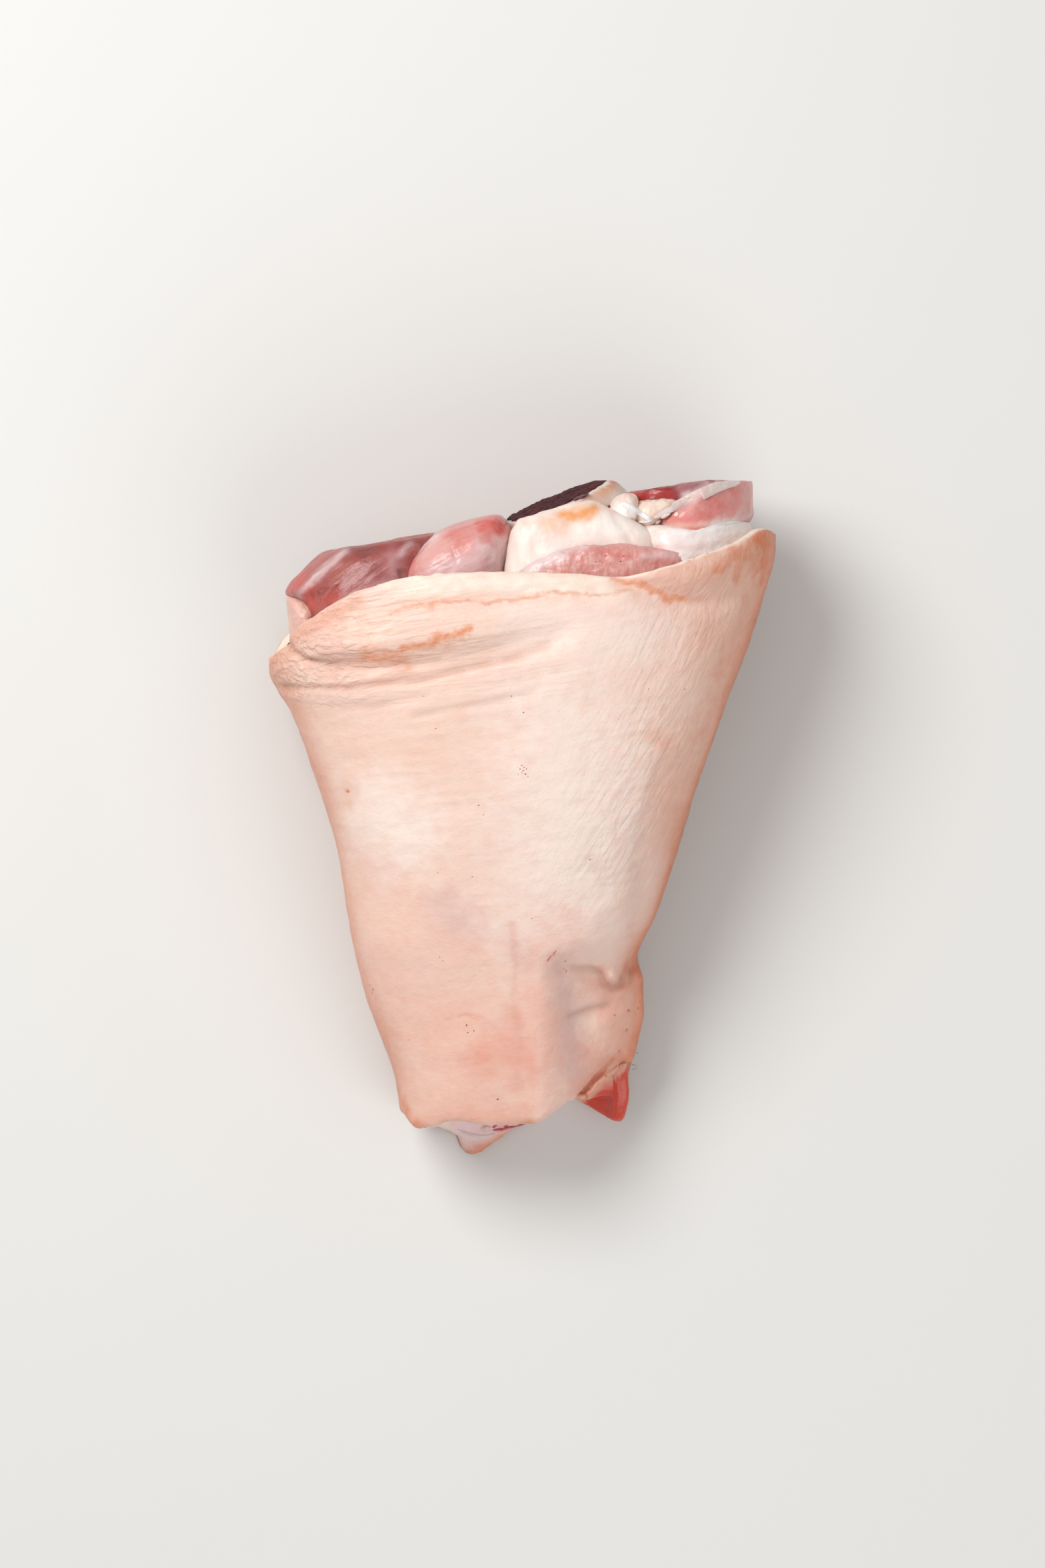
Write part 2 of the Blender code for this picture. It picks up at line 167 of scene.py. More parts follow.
def distance_to_chain(x: Array, y: Array, chain: Chain) -> tuple[Array, Array, Array]:
    """How far points are from a chain of points.

    Args:
        x: X of the points.
        y: Y of the points.
        chain: The chain; one point alone is a spot.

    Returns:
        The distances; how far along the chain, 0 to 1, the nearest place is; and the distances once more,
        negative to the left of the chain as it runs.
    """
    if len(chain) == 1:
        gap = np.hypot(x - chain[0][0], y - chain[0][1])
        return gap, np.full_like(x, 0.5), gap
    best = np.full_like(x, np.inf)
    along, side = np.zeros_like(x), np.zeros_like(x)
    for i, ((ax, ay), (bx, by)) in enumerate(zip(chain, chain[1:])):
        dx, dy = bx - ax, by - ay
        t = np.clip(((x - ax) * dx + (y - ay) * dy) / (dx * dx + dy * dy), 0, 1)
        gap = np.hypot(x - ax - t * dx, y - ay - t * dy)
        nearer = gap < best
        best = np.where(nearer, gap, best)
        along = np.where(nearer, (i + t) / (len(chain) - 1), along)
        right = (x - ax) * dy - (y - ay) * dx
        side = np.where(nearer, np.sign(right) * gap, side)
    return best, along, side


def nearness(x: Array, y: Array, chain: Chain, half_width: float) -> Array:
    """1 on a chain of points, and about a third at half_width from it."""
    return np.exp(-((distance_to_chain(x, y, chain)[0] / half_width) ** 2))


def noise_at(points: Array, size: float, stretch: Triple = (1, 1, 1), turn: float = 0.0,
             shift: float = 0.0) -> Array:
    """Soft noise from -1 to 1.

    Args:
        points: The points, in millimetres.
        size: How far apart its lumps are.
        stretch: How many times longer the lumps are along each axis.
        turn: Degrees about Z by which those axes are turned.
        shift: Moves to another part of the noise.

    Returns:
        One value for each point.
    """
    turned = points @ np.array(Matrix.Rotation(math.radians(turn), 3, "Z"))
    places = turned / (size * np.array(stretch)) + shift
    return np.array([noise.noise(place) for place in places.tolist()])


@dataclass(frozen=True)
class Ripple:
    """One layer of fine noise over a surface.

    The fields after height are those of noise_at; a ridged layer has crests where the noise is 0.
    """

    height: float
    size: float
    stretch: Triple = (1, 1, 1)
    turn: float = 0.0
    shift: float = 0.0
    ridged: bool = False

    def at(self, points: Array) -> Array:
        """Its values at points in millimetres."""
        value = noise_at(points, self.size, self.stretch, self.turn, self.shift)
        return self.height * (1 - 2 * np.abs(value) if self.ridged else value)


# ---------------------------------------------------------------------------------------------------------
# Tints: soft patches of colour, some of them painted shade and sheen, kept on the meshes as attributes
# ---------------------------------------------------------------------------------------------------------
class Tint(Enum):
    """What a patch of surface is tinted with."""

    PALE = "pale"
    BLUSH = "blush"
    TAN = "tan"
    # orange tan of the skin; on the flanks and by the flap's fold it is also painted shade
    EDGE = "edge"
    SHADE = "shade"
    FILM = "film"
    ROLL = "roll"
    STROKE = "stroke"
    LILAC = "lilac"
    RAW = "raw"
    FAT = "fat"
    DARK = "dark"
    SAWN = "sawn"


@dataclass(frozen=True)
class Stain:
    """A soft patch, or a streak along a chain of points, as seen from above.

    half_width is where it has faded to about a third, and ragged is how far noise moves its edge, as a share
    of that.
    """

    tint: Tint
    chain: Chain
    half_width: float
    strength: float = 1.0
    ragged: float = 0.5


@dataclass(frozen=True)
class Step:
    """A step down along a chain of points: the skin to the right of it, as it runs, lies lower.

    drop is its height, width how far it takes, and reach how far beyond it the lower side comes back up.
    """

    chain: Chain
    drop: float
    width: float
    reach: float


STEP_END = 0.15  # a step fades in over this share of its length at each end
STEP_ENDS = (0.0, STEP_END, 1 - STEP_END, 1.0)


def step_depth(x: Array, y: Array, steps: Sequence[Step]) -> Array:
    """How deep a set of steps is at points.

    Args:
        x: X of the points.
        y: Y of the points.
        steps: The steps.

    Returns:
        The summed depth at each point, in millimetres.
    """
    depth = np.zeros_like(x)
    for step in steps:
        _, along, side = distance_to_chain(x, y, step.chain)
        lower = smooth_step(-step.width / 2, step.width / 2, side) * smooth_step(step.reach, step.width, side)
        depth += step.drop * window(STEP_ENDS, along) * lower
    return depth


@dataclass(frozen=True)
class Fold:
    """A fold or groove along a chain of points, as seen from above; a ridge has a negative depth."""

    chain: Chain
    half_width: float
    depth: float


FOLD_REACH = 3.0  # a fold is felt this many half widths away
FOLD_END = 0.12  # how far into its rise a fold already is at its ends


def fold_depth(x: Array, y: Array, folds: Sequence[Fold]) -> Array:
    """How deep a set of folds is at points.

    Args:
        x: X of the points.
        y: Y of the points.
        folds: The folds.

    Returns:
        The summed depth at each point, in millimetres.
    """
    depth = np.zeros_like(x)
    for fold in folds:
        gap, along, _ = distance_to_chain(x, y, fold.chain)
        strength = np.sqrt(np.sin(np.pi * (FOLD_END + (1 - 2 * FOLD_END) * along)))
        felt = np.exp(-((gap / fold.half_width) ** 2)) * (gap < FOLD_REACH * fold.half_width)
        depth += fold.depth * strength * felt
    return depth


WAVERS = (  # how noise moves the edges of stains along X and along Y
    (Ripple(1.0, 4.0, shift=3.1), Ripple(0.5, 1.7, shift=5.3)),
    (Ripple(1.0, 4.0, shift=7.7), Ripple(0.5, 1.7, shift=9.9)),
)


class Paint:
    """The tints of one mesh: a share from 0 to 1 of each tint at each of its points."""

    def __init__(self, points: Array) -> None:
        """Starts with no tint.

        Args:
            points: The mesh's points, in millimetres.
        """
        self.points = points
        self.shares: dict[Tint, Array] = {}

    def add(self, tint: Tint, share: Array) -> None:
        """Adds a tint where it is stronger than what is there."""
        share = np.clip(share, 0.0, 1.0)
        self.shares[tint] = np.maximum(self.shares.get(tint, np.zeros(len(share))), share)

    def stain(self, stains: Sequence[Stain], where: Array | float = 1.0) -> None:
        """Adds stains, with edges that noise makes uneven.

        Args:
            stains: The stains.
            where: The share of them that each point takes.
        """
        waver_x, waver_y = (broad.at(self.points) + fine.at(self.points) for broad, fine in WAVERS)
        for stain in stains:
            reach = stain.half_width * stain.ragged
            x = self.points[:, 0] + waver_x * reach
            y = self.points[:, 1] + waver_y * reach
            self.add(stain.tint, stain.strength * nearness(x, y, stain.chain, stain.half_width) * where)

    def write(self, data: bpy.types.Mesh) -> None:
        """Keeps the shares on a mesh, one attribute for each tint."""
        for tint, share in self.shares.items():
            attribute = data.attributes.new(tint.value, "FLOAT", "POINT")
            attribute.data.foreach_set("value", share.astype(np.float32))


# ---------------------------------------------------------------------------------------------------------
# Shaders
# ---------------------------------------------------------------------------------------------------------
class Wire:
    """A socket's value in a shader; arithmetic on it adds the shader's Math nodes."""

    def __init__(self, shader: "Shader", socket: bpy.types.NodeSocket) -> None:
        """Wraps a socket.

        Args:
            shader: The shader that the socket is in.
            socket: The output socket.
        """
        self.shader = shader
        self.socket = socket

    def _math(self, operation: str, first: Any, second: Any, clamp: bool = False) -> "Wire":
        """A Math node on two values."""
        settings = {"operation": operation, "use_clamp": clamp}
        return self.shader.node("ShaderNodeMath", settings, {0: first, 1: second})

    def __add__(self, other: Any) -> "Wire":
        """This plus another."""
        return self._math("ADD", self, other)

    __radd__ = __add__

    def __sub__(self, other: Any) -> "Wire":
        """This minus another."""
        return self._math("SUBTRACT", self, other)

    def __rsub__(self, other: Any) -> "Wire":
        """Another minus this."""
        return self._math("SUBTRACT", other, self)

    def __mul__(self, other: Any) -> "Wire":
        """This times another."""
        return self._math("MULTIPLY", self, other)

    __rmul__ = __mul__

    def __abs__(self) -> "Wire":
        """This without its sign."""
        return self.shader.node("ShaderNodeMath", {"operation": "ABSOLUTE"}, {0: self})

    def clamped(self) -> "Wire":
        """This, kept from 0 to 1."""
        return self._math("ADD", self, 0.0, clamp=True)

    def ramp(self, low: float, high: float) -> "Wire":
        """0 up to low, 1 from high on, and an even rise between them; low may be the larger."""
        return ((self - low) * (1 / (high - low))).clamped()


class Shader:
    """One material's node tree around its Principled BSDF."""

    def __init__(self, name: str) -> None:
        """Makes the material.

        Args:
            name: Its name.
        """
        self.material = bpy.data.materials.new(name)
        self.material.use_nodes = True
        self.tree = self.material.node_tree
        self.principled = self.tree.nodes["Principled BSDF"]
        self.place = self.node("ShaderNodeTexCoord", {}, {}, "Object")

    def node(self, kind: str, settings: dict[str, Any], values: dict[Any, Any], output: Any = 0) -> Wire:
        """Adds any node.

        Args:
            kind: Its type.
            settings: Its properties, which are set first.
            values: For each input socket, by name or number, a value or a Wire.
            output: Name or number of the output socket to give back.

        Returns:
            That output.
        """
        made = self.tree.nodes.new(kind)
        for key, value in settings.items():
            setattr(made, key, value)
        for key, value in values.items():
            self.put(made.inputs[key], value)
        return Wire(self, made.outputs[output])

    def put(self, socket: bpy.types.NodeSocket, value: Any) -> None:
        """Links a Wire to a socket, or sets the socket's own value."""
        if isinstance(value, Wire):
            self.tree.links.new(value.socket, socket)
        elif socket.type == "RGBA":
            socket.default_value = (*value, 1.0)
        else:
            socket.default_value = value

    def mix(self, share: Any, first: Any, second: Any, blend: str = "MIX") -> Wire:
        """A mix of two colours.

        Args:
            share: How much of the second, 0 to 1.
            first: The first colour.
            second: The second colour.
            blend: How they mix.

        Returns:
            The mixed colour.
        """
        settings = {"data_type": "RGBA", "blend_type": blend}
        return self.node("ShaderNodeMix", settings, {0: share, 6: first, 7: second}, 2)

    def tint(self, tint: Tint) -> Wire:
        """The share of a tint that the mesh keeps."""
        return self.node("ShaderNodeAttribute", {"attribute_name": tint.value}, {}, "Fac")

    def turned(self, turn: float, stretch: Triple) -> Wire:
        """The place on the object, turned by degrees about Z and stretched along the turned axes."""
        settings = {"vector_type": "TEXTURE"}
        values = {"Rotation": (0.0, 0.0, math.radians(turn)), "Scale": stretch, "Vector": self.place}
        return self.node("ShaderNodeMapping", settings, values)

    def noise(self, size: float, detail: float = 2.0, vector: Any = None, roughness: float = 0.5) -> Wire:
        """Noise from 0 to 1.

        Args:
            size: How far apart its lumps are, in millimetres.
            detail: How many finer layers it has.
            vector: Where it is read; the place on the object if None.
            roughness: How strong the finer layers are.

        Returns:
            The noise.
        """
        values = {"Vector": vector or self.place, "Scale": 1 / (size * MM), "Detail": detail,
                  "Roughness": roughness}
        return self.node("ShaderNodeTexNoise", {}, values)

    def grooves(self, size: float, turn: float, length: float, narrow: float = 7.0) -> Wire:
        """Fine branching grooves: 0 in them and 1 between them.

        Args:
            size: How far apart they are, in millimetres.
            turn: Degrees about Z by which they run.
            length: How many times longer than far apart they are.
            narrow: How narrow they are.

        Returns:
            The height.
        """
        waves = self.noise(size * 2, 2.0, self.turned(turn, (length, 1.0, 1.0)), 0.45)
        return (abs(waves - 0.5) * narrow).clamped()

    def cells(self, size: float, feature: str = "F1", vector: Any = None) -> Wire:
        """The distance, in cells, to the middle or the edge of the cell that a point is in."""
        values = {"Vector": vector or self.place, "Scale": 1 / (size * MM)}
        return self.node("ShaderNodeTexVoronoi", {"feature": feature}, values, "Distance")

    def relief(self, layers: Sequence[tuple[Wire, float]]) -> Wire:
        """The normal of a surface with layers of fine relief.

        Args:
            layers: A height from 0 to 1 and its depth in millimetres, for each layer.

        Returns:
            The normal.
        """
        normal = None
        for height, depth in layers:
            values = {"Height": height, "Distance": depth * MM, "Strength": 1.0}
            if normal is not None:
                values["Normal"] = normal
            normal = self.node("ShaderNodeBump", {}, values)
        return normal

    def dress(self, constants: dict[str, Any], linked: dict[str, Wire]) -> bpy.types.Material:
        """Sets the Principled BSDF's sockets.

        Args:
            constants: Values that are the same all over.
            linked: Values that change over the surface.

        Returns:
            The finished material.
        """
        for key, value in {**constants, **linked}.items():
            self.put(self.principled.inputs[key], value)
        return self.material


# ---------------------------------------------------------------------------------------------------------
# Finishes
# ---------------------------------------------------------------------------------------------------------
@dataclass(frozen=True)
class SkinFinish:
    """Scalded rind: pale, mottled, with pores, creping and a soft moist sheen."""

    name: str = "rind_skin"
    base: Colour = srgb(242, 209, 192)
    warm: Colour = srgb(236, 190, 170)
    cool: Colour = srgb(240, 207, 200)
    soft_tints: tuple[tuple[Tint, Colour], ...] = (
        (Tint.PALE, srgb(247, 230, 218)),
        (Tint.BLUSH, srgb(228, 146, 122)),
        (Tint.LILAC, srgb(206, 164, 160)),
        # EDGE: the skin's orange tan, also used as painted shade on the flanks and in the flap's crease
        (Tint.EDGE, srgb(218, 124, 80)),
        (Tint.SHADE, srgb(168, 112, 88)),
        (Tint.FAT, srgb(246, 230, 214)),
    )
    ragged_tints: tuple[tuple[Tint, Colour], ...] = (
        (Tint.TAN, srgb(224, 142, 98)),
        (Tint.DARK, srgb(176, 96, 74)),
    )
    flesh_tints: tuple[tuple[Tint, Colour], ...] = (
        (Tint.FILM, srgb(255, 228, 228)),
        (Tint.RAW, srgb(216, 72, 50)),
    )
    pore_shade: Colour = srgb(186, 118, 96)
    groove_shade: Colour = srgb(214, 158, 132)
    pore_size: float = 1.3
    crepe_size: float = 1.3

    def material(self) -> bpy.types.Material:
        """Builds the material."""
        shader = Shader(self.name)
        broad = shader.noise(17.0, 3.0, shader.turned(12.0, (1.8, 1.0, 1.0)))
        clouds = shader.noise(28.0, 2.0)
        fine = shader.noise(3.2, 4.0, shader.turned(10.0, (1.5, 1.0, 1.0)), 0.6)
        colour = shader.mix(broad.ramp(0.40, 0.70) * 0.5 + fine.ramp(0.48, 0.78) * 0.35, self.base, self.warm)
        colour = shader.mix(clouds.ramp(0.5, 0.75) * 0.4, colour, self.cool)
        for tint, shade in self.soft_tints:
            share = shader.tint(tint) * (fine * 0.5 + 0.75)
            colour = shader.mix(share.clamped(), colour, shade)
        speckle = shader.noise(1.6, 3.0, shader.turned(12.0, (1.5, 1.0, 1.0)), 0.65)
        for tint, shade in self.ragged_tints:
            share = (shader.tint(tint) + speckle * 1.5 - 0.75).ramp(0.1, 1.1)
            colour = shader.mix(share * shader.tint(tint).ramp(0.0, 0.3), colour, shade)
        for tint, shade in self.flesh_tints:
            colour = shader.mix((shader.tint(tint) * (speckle * 0.5 + 0.8)).clamped(), colour, shade)
        wet = shader.tint(Tint.RAW).clamped()
        cut = (shader.tint(Tint.FAT) + wet).clamped()
        pores = shader.cells(self.pore_size)
        skin = 1.0 - cut
        colour = shader.mix(pores.ramp(0.2, 0.02) * skin * 0.22, colour, self.pore_shade)
        rolled, stroked = shader.tint(Tint.ROLL), shader.tint(Tint.STROKE)
        wrinkles = shader.grooves(size=1.3, turn=9.0, length=9.0)
        strokes = shader.grooves(size=1.5, turn=62.0, length=4.5)
        lines = (1.0 - wrinkles) * rolled * 0.30 + (1.0 - strokes) * stroked * 0.12
        colour = shader.mix(lines.clamped(), colour, self.groove_shade)
        across = shader.noise(self.crepe_size, 4.0, shader.turned(8.0, (1.7, 1.0, 1.3)), 0.62)
        roughness = fine * 0.18 + 0.38 - wet * 0.26
        layers = [
            (wrinkles * (rolled * 0.97 + skin * 0.03), 0.32),
            (strokes * (stroked * 0.85 + skin * 0.15), 0.16),
            (across, 0.22),
            (pores.ramp(0.02, 0.3), 0.04),
        ]
        return shader.dress(
            {
                "Subsurface Weight": 0.2,
                "Subsurface Radius": (1.0, 0.42, 0.28),
                "Subsurface Scale": 0.0025,
                "Specular IOR Level": 0.42,
                "Coat Roughness": 0.22,
            },
            {
                "Base Color": colour,
                "Roughness": roughness,
                "Coat Weight": wet * 0.4 + 0.04,
                "Normal": shader.relief(layers),
            },
        )


@dataclass(frozen=True)
class FleshFinish:
    """Wet muscle, fat or gristle: grain along the piece, a marbled sawn face and a moist gloss."""

    name: str
    base: Colour
    deep: Colour
    light: Colour
    tints: tuple[tuple[Tint, Colour], ...]
    grain: float = 1.1
    grain_turn: float = 90.0
    grain_length: float = 7.0
    streaks: float = 0.5
    grain_depth: float = 0.2
    pebble_depth: float = 0.14
    roughness: float = 0.3
    coat: float = 0.15
    marbling: float = 0.8
    subsurface: float = 0.2
    specular: float = 0.5

    def material(self) -> bpy.types.Material:
        """Builds the material."""
        shader = Shader(self.name)
        along = shader.turned(self.grain_turn, (self.grain_length, 1.0, 1.0))
        fibres = shader.noise(self.grain, 3.0, along, 0.6)
        bundles = shader.noise(self.grain * 5, 2.0, along)
        patches = shader.noise(9.0, 2.0)
        colour = shader.mix(patches.ramp(0.35, 0.7), self.base, self.deep)
        lighter = fibres.ramp(0.5, 0.8) * self.streaks + bundles.ramp(0.55, 0.8) * self.streaks * 0.7
        colour = shader.mix(lighter.clamped(), colour, self.light)
        sawn = shader.tint(Tint.SAWN)
        seams = (1.0 - shader.grooves(size=2.4, turn=20.0, length=1.6, narrow=9.0)) * 0.55
        seams += shader.cells(1.3).ramp(0.35, 0.75) * 0.3
        colour = shader.mix((seams * sawn).clamped() * self.marbling, colour, self.light)
        for tint, shade in self.tints:
            share = (shader.tint(tint) * (fibres * 0.7 + 0.65)).clamped()
            colour = shader.mix(share, colour, shade)
        pebbles = shader.noise(1.4, 3.0, None, 0.6)
        roughness = fibres * 0.14 + (self.roughness - 0.07) + sawn * 0.12
        layers = [(bundles, self.grain_depth * 2), (fibres, self.grain_depth), (pebbles, self.pebble_depth)]
        return shader.dress(
            {
                "Subsurface Weight": self.subsurface,
                "Subsurface Radius": (1.0, 0.3, 0.2),
                "Subsurface Scale": 0.003,
                "Specular IOR Level": self.specular,
                "Coat Roughness": 0.14,
            },
            {
                "Base Color": colour,
                "Roughness": roughness,
                "Coat Weight": patches * self.coat + self.coat * 0.4,
                "Normal": shader.relief(layers),
            },
        )


@dataclass(frozen=True)
class PlainFinish:
    """A small thing's finish: one colour with a little mottling."""

    name: str
    base: Colour
    deep: Colour
    roughness: float = 0.4
    mottle_size: float = 0.8

    def material(self) -> bpy.types.Material:
        """Builds the material."""
        shader = Shader(self.name)
        mottle = shader.noise(self.mottle_size, 2.0)
        colour = shader.mix(mottle.ramp(0.35, 0.65), self.base, self.deep)
        linked = {"Base Color": colour, "Roughness": mottle * 0.2 + (self.roughness - 0.1)}
        return shader.dress({}, linked)


FAT_TINTS = (
    (Tint.BLUSH, srgb(226, 160, 148)),
    (Tint.TAN, srgb(232, 158, 98)),
    (Tint.RAW, srgb(178, 62, 52)),
    (Tint.DARK, srgb(82, 24, 28)),
)
# FILM and LILAC are the pale film's own colours, and where the stains below put them low on wet muscle, also
# painted sheen
MEAT_TINTS = (
    (Tint.FILM, srgb(232, 208, 208)),
    (Tint.PALE, srgb(236, 212, 208)),
    (Tint.LILAC, srgb(206, 160, 164)),
    (Tint.FAT, srgb(242, 224, 208)),
    (Tint.RAW, srgb(208, 62, 48)),
    (Tint.DARK, srgb(84, 30, 34)),
)
SKIN = SkinFinish()
FAT = FleshFinish("fat", srgb(240, 222, 204), srgb(232, 200, 182), srgb(248, 236, 224), FAT_TINTS,
                  streaks=0.4, grain_depth=0.08, pebble_depth=0.22, roughness=0.4, coat=0.1, marbling=0.2)
GRISTLE = FleshFinish("gristle", srgb(243, 229, 219), srgb(236, 212, 200), srgb(250, 242, 238), FAT_TINTS,
                      grain_length=2.0, streaks=0.35, grain_depth=0.05, pebble_depth=0.09, roughness=0.46,
                      coat=0.08,
                      marbling=0.15)
MUSCLE = FleshFinish("muscle", srgb(168, 88, 80), srgb(148, 66, 62), srgb(204, 142, 132), MEAT_TINTS,
                     grain_turn=38.0, roughness=0.34, coat=0.1)
OVAL = FleshFinish("oval_muscle", srgb(222, 164, 156), srgb(212, 140, 130), srgb(238, 206, 202), MEAT_TINTS,
                   grain_turn=30.0, grain_depth=0.16)
POCKET = FleshFinish("pocket_muscle", srgb(214, 150, 140), srgb(202, 124, 114), srgb(236, 198, 190),
                     MEAT_TINTS,
                     grain_turn=82.0, grain=1.4, grain_length=2.4, streaks=0.6)
SIDE = FleshFinish("side_muscle", srgb(228, 162, 154), srgb(220, 138, 130), srgb(240, 198, 192), MEAT_TINTS,
                   grain_turn=38.0)
DEEP = FleshFinish("deep_muscle", srgb(142, 46, 46), srgb(122, 30, 34), srgb(180, 94, 88), MEAT_TINTS,
                   grain_turn=10.0)
BAND = FleshFinish("band_fat", srgb(252, 241, 236), srgb(247, 226, 220), srgb(254, 248, 246), FAT_TINTS,
                   grain=1.3,
                   grain_length=9.0, grain_turn=12.0, streaks=0.6, grain_depth=0.2, pebble_depth=0.12,
                   roughness=0.34, coat=0.1, marbling=0.2)
FASCIA = FleshFinish("fascia", srgb(236, 214, 208), srgb(224, 192, 184), srgb(246, 236, 232), MEAT_TINTS,
                     grain=0.7, roughness=0.3, marbling=0.0, grain_turn=28.0)
MARROW = FleshFinish("marrow", srgb(72, 10, 16), srgb(42, 4, 10), srgb(118, 32, 38), (), grain_length=1.5,
                     streaks=0.4, grain_depth=0.1, pebble_depth=0.3, roughness=0.6, coat=0.0, marbling=0.0,
                     specular=0.15)
BONE = FleshFinish("bone", srgb(226, 212, 202), srgb(206, 184, 176), srgb(240, 232, 226),
                   FAT_TINTS + ((Tint.LILAC, srgb(96, 42, 50)),), streaks=0.3, grain_depth=0.05,
                   pebble_depth=0.14,
                   roughness=0.4, coat=0.1, marbling=0.0)
TENDON = FleshFinish("tendon", srgb(244, 236, 234), srgb(232, 218, 216), srgb(252, 250, 248), FAT_TINTS,
                     grain=0.5, roughness=0.38, marbling=0.0)
MOLE = PlainFinish("mole", srgb(208, 142, 104), srgb(188, 116, 80), 0.5)
BLOOD = PlainFinish("dried_blood", srgb(122, 32, 28), srgb(86, 18, 20), 0.35)
SPECK = PlainFinish("speck", srgb(178, 88, 72), srgb(150, 62, 52), 0.45)
SCRATCH = PlainFinish("scratch", srgb(206, 92, 72), srgb(184, 66, 54), 0.45)
TORN = PlainFinish("torn_flesh", srgb(216, 112, 118), srgb(186, 74, 84), 0.36, 1.2)
CLOT = PlainFinish("clot", srgb(108, 30, 46), srgb(80, 16, 30), 0.42, 1.6)
BRISTLE = PlainFinish("bristle", srgb(226, 190, 162), srgb(196, 150, 120), 0.35)


# ---------------------------------------------------------------------------------------------------------
# Meshes
# ---------------------------------------------------------------------------------------------------------
def mapped_sphere(segments: int, rings: int, place: Callable[[Array, Array], Array]) -> bmesh.types.BMesh:
    """A closed mesh whose points are those of a sphere, each put elsewhere.

    Args:
        segments: Points round the sphere.
        rings: Rings from pole to pole.
        place: Gives the points in millimetres for arrays of segment and ring numbers.

    Returns:
        The mesh in millimetres, facing outwards.
    """
    mesh = bmesh.new()
    bmesh.ops.create_uvsphere(mesh, u_segments=segments, v_segments=rings, radius=1.0)
    unit = np.array([vertex.co for vertex in mesh.verts])
    ring = np.rint(np.arccos(np.clip(unit[:, 2], -1, 1)) / np.pi * rings)
    segment = np.rint(np.arctan2(unit[:, 1], unit[:, 0]) / (2 * np.pi) * segments) % segments
    for vertex, point in zip(mesh.verts, place(segment, ring).tolist()):
        vertex.co = point
    if mesh.calc_volume(signed=True) < 0:
        bmesh.ops.reverse_faces(mesh, faces=mesh.faces)
    mesh.normal_update()
    return mesh


def points_of(mesh: bmesh.types.BMesh) -> Array:
    """The points of a mesh."""
    return np.array([vertex.co for vertex in mesh.verts])


def normals_of(mesh: bmesh.types.BMesh) -> Array:
    """The normals at the points of a mesh."""
    return np.array([vertex.normal for vertex in mesh.verts])


def push(mesh: bmesh.types.BMesh, heights: Array) -> None:
    """Moves each point of a mesh along its normal by its height."""
    moved = points_of(mesh) + normals_of(mesh) * heights[:, None]
    for vertex, point in zip(mesh.verts, moved.tolist()):
        vertex.co = point
    mesh.normal_update()


SKY = 200.0  # a height above everything, from which rays are cast down


class Ground:
    """The surfaces made so far, for things that lie on them."""

    def __init__(self) -> None:
        """Starts with none."""
        self.trees: list[BVHTree] = []

    def add(self, mesh: bmesh.types.BMesh) -> None:
        """Adds a mesh in millimetres."""
        self.trees.append(BVHTree.FromBMesh(mesh))

    def hit(self, x: float, y: float) -> tuple[Vector, Vector]:
        """The highest surface at a place.

        Args:
            x: X of the place.
            y: Y of the place.

        Returns:
            The point and its normal; the floor where there is nothing.
        """
        best, facing = Vector((x, y, 0.0)), Vector((0.0, 0.0, 1.0))
        for tree in self.trees:
            point, normal, _, _ = tree.ray_cast(Vector((x, y, SKY)), Vector((0.0, 0.0, -1.0)))
            if point is not None and point.z > best.z:
                best, facing = point, normal
        return best, facing

    def top(self, x: float, y: float, reach: float = 0.0) -> float:
        """The highest Z within a reach of a place."""
        around = [(0, 0), (reach, 0), (-reach, 0), (0, reach), (0, -reach)] if reach else [(0, 0)]
        return max(self.hit(x + dx, y + dy)[0].z for dx, dy in around)


GROUND = Ground()


def finish_piece(mesh: bmesh.types.BMesh, name: str, material: bpy.types.Material, node: str,
                 paint: Paint | None = None) -> bpy.types.Object:
    """Turns a mesh into a piece of the knuckle, held inside the solids' box.

    Args:
        mesh: The mesh in millimetres; it is freed.
        name: The piece's name.
        material: Its material.
        node: The solid that it stands for, which is hidden.
        paint: Its tints.

    Returns:
        The piece.
    """
    GROUND.add(mesh)
    low, high = (np.array(corner) for corner in CAD_BOX)
    places = np.clip((points_of(mesh) + CENTRING) * MM, low, high)
    for vertex, point in zip(mesh.verts, places.tolist()):
        vertex.co = point
    for face in mesh.faces:
        face.smooth = True
    data = bpy.data.meshes.new(name)
    mesh.to_mesh(data)
    mesh.free()
    if paint:
        paint.write(data)
    data.materials.append(material)
    piece = bpy.data.objects.new(name, data)
    bpy.context.scene.collection.objects.link(piece)
    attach(piece, "root")
    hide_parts(node)
    LOG.info("%s: %d points", name, len(data.vertices))
    return piece


# ---------------------------------------------------------------------------------------------------------
# The rind
# ---------------------------------------------------------------------------------------------------------
def hem(knots_up: Chain, knots_under: Chain, blend: float) -> Callable[[Array, Array], Array]:
    """A hem's Y at places of the unit section.

    Args:
        knots_up: (X, Y) knots of the side that faces up.
        knots_under: (X, Y) knots of the side that lies down.
        blend: The two run into each other within this share of a section's height.

    Returns:
        The function from (across, up) to Y.
    """
    low, high = knots_up[0][0], knots_up[-1][0]
    side_up, side_under = Spline(knots_up), Spline(knots_under)

    def value(across: Array, up: Array) -> Array:
        """The hem's Y."""
        x = (low + high) / 2 + (high - low) / 2 * across
        share = np.clip(0.5 + 0.5 * up / blend, 0.0, 1.0)
        return share * side_up(x) + (1 - share) * side_under(x)

    return value


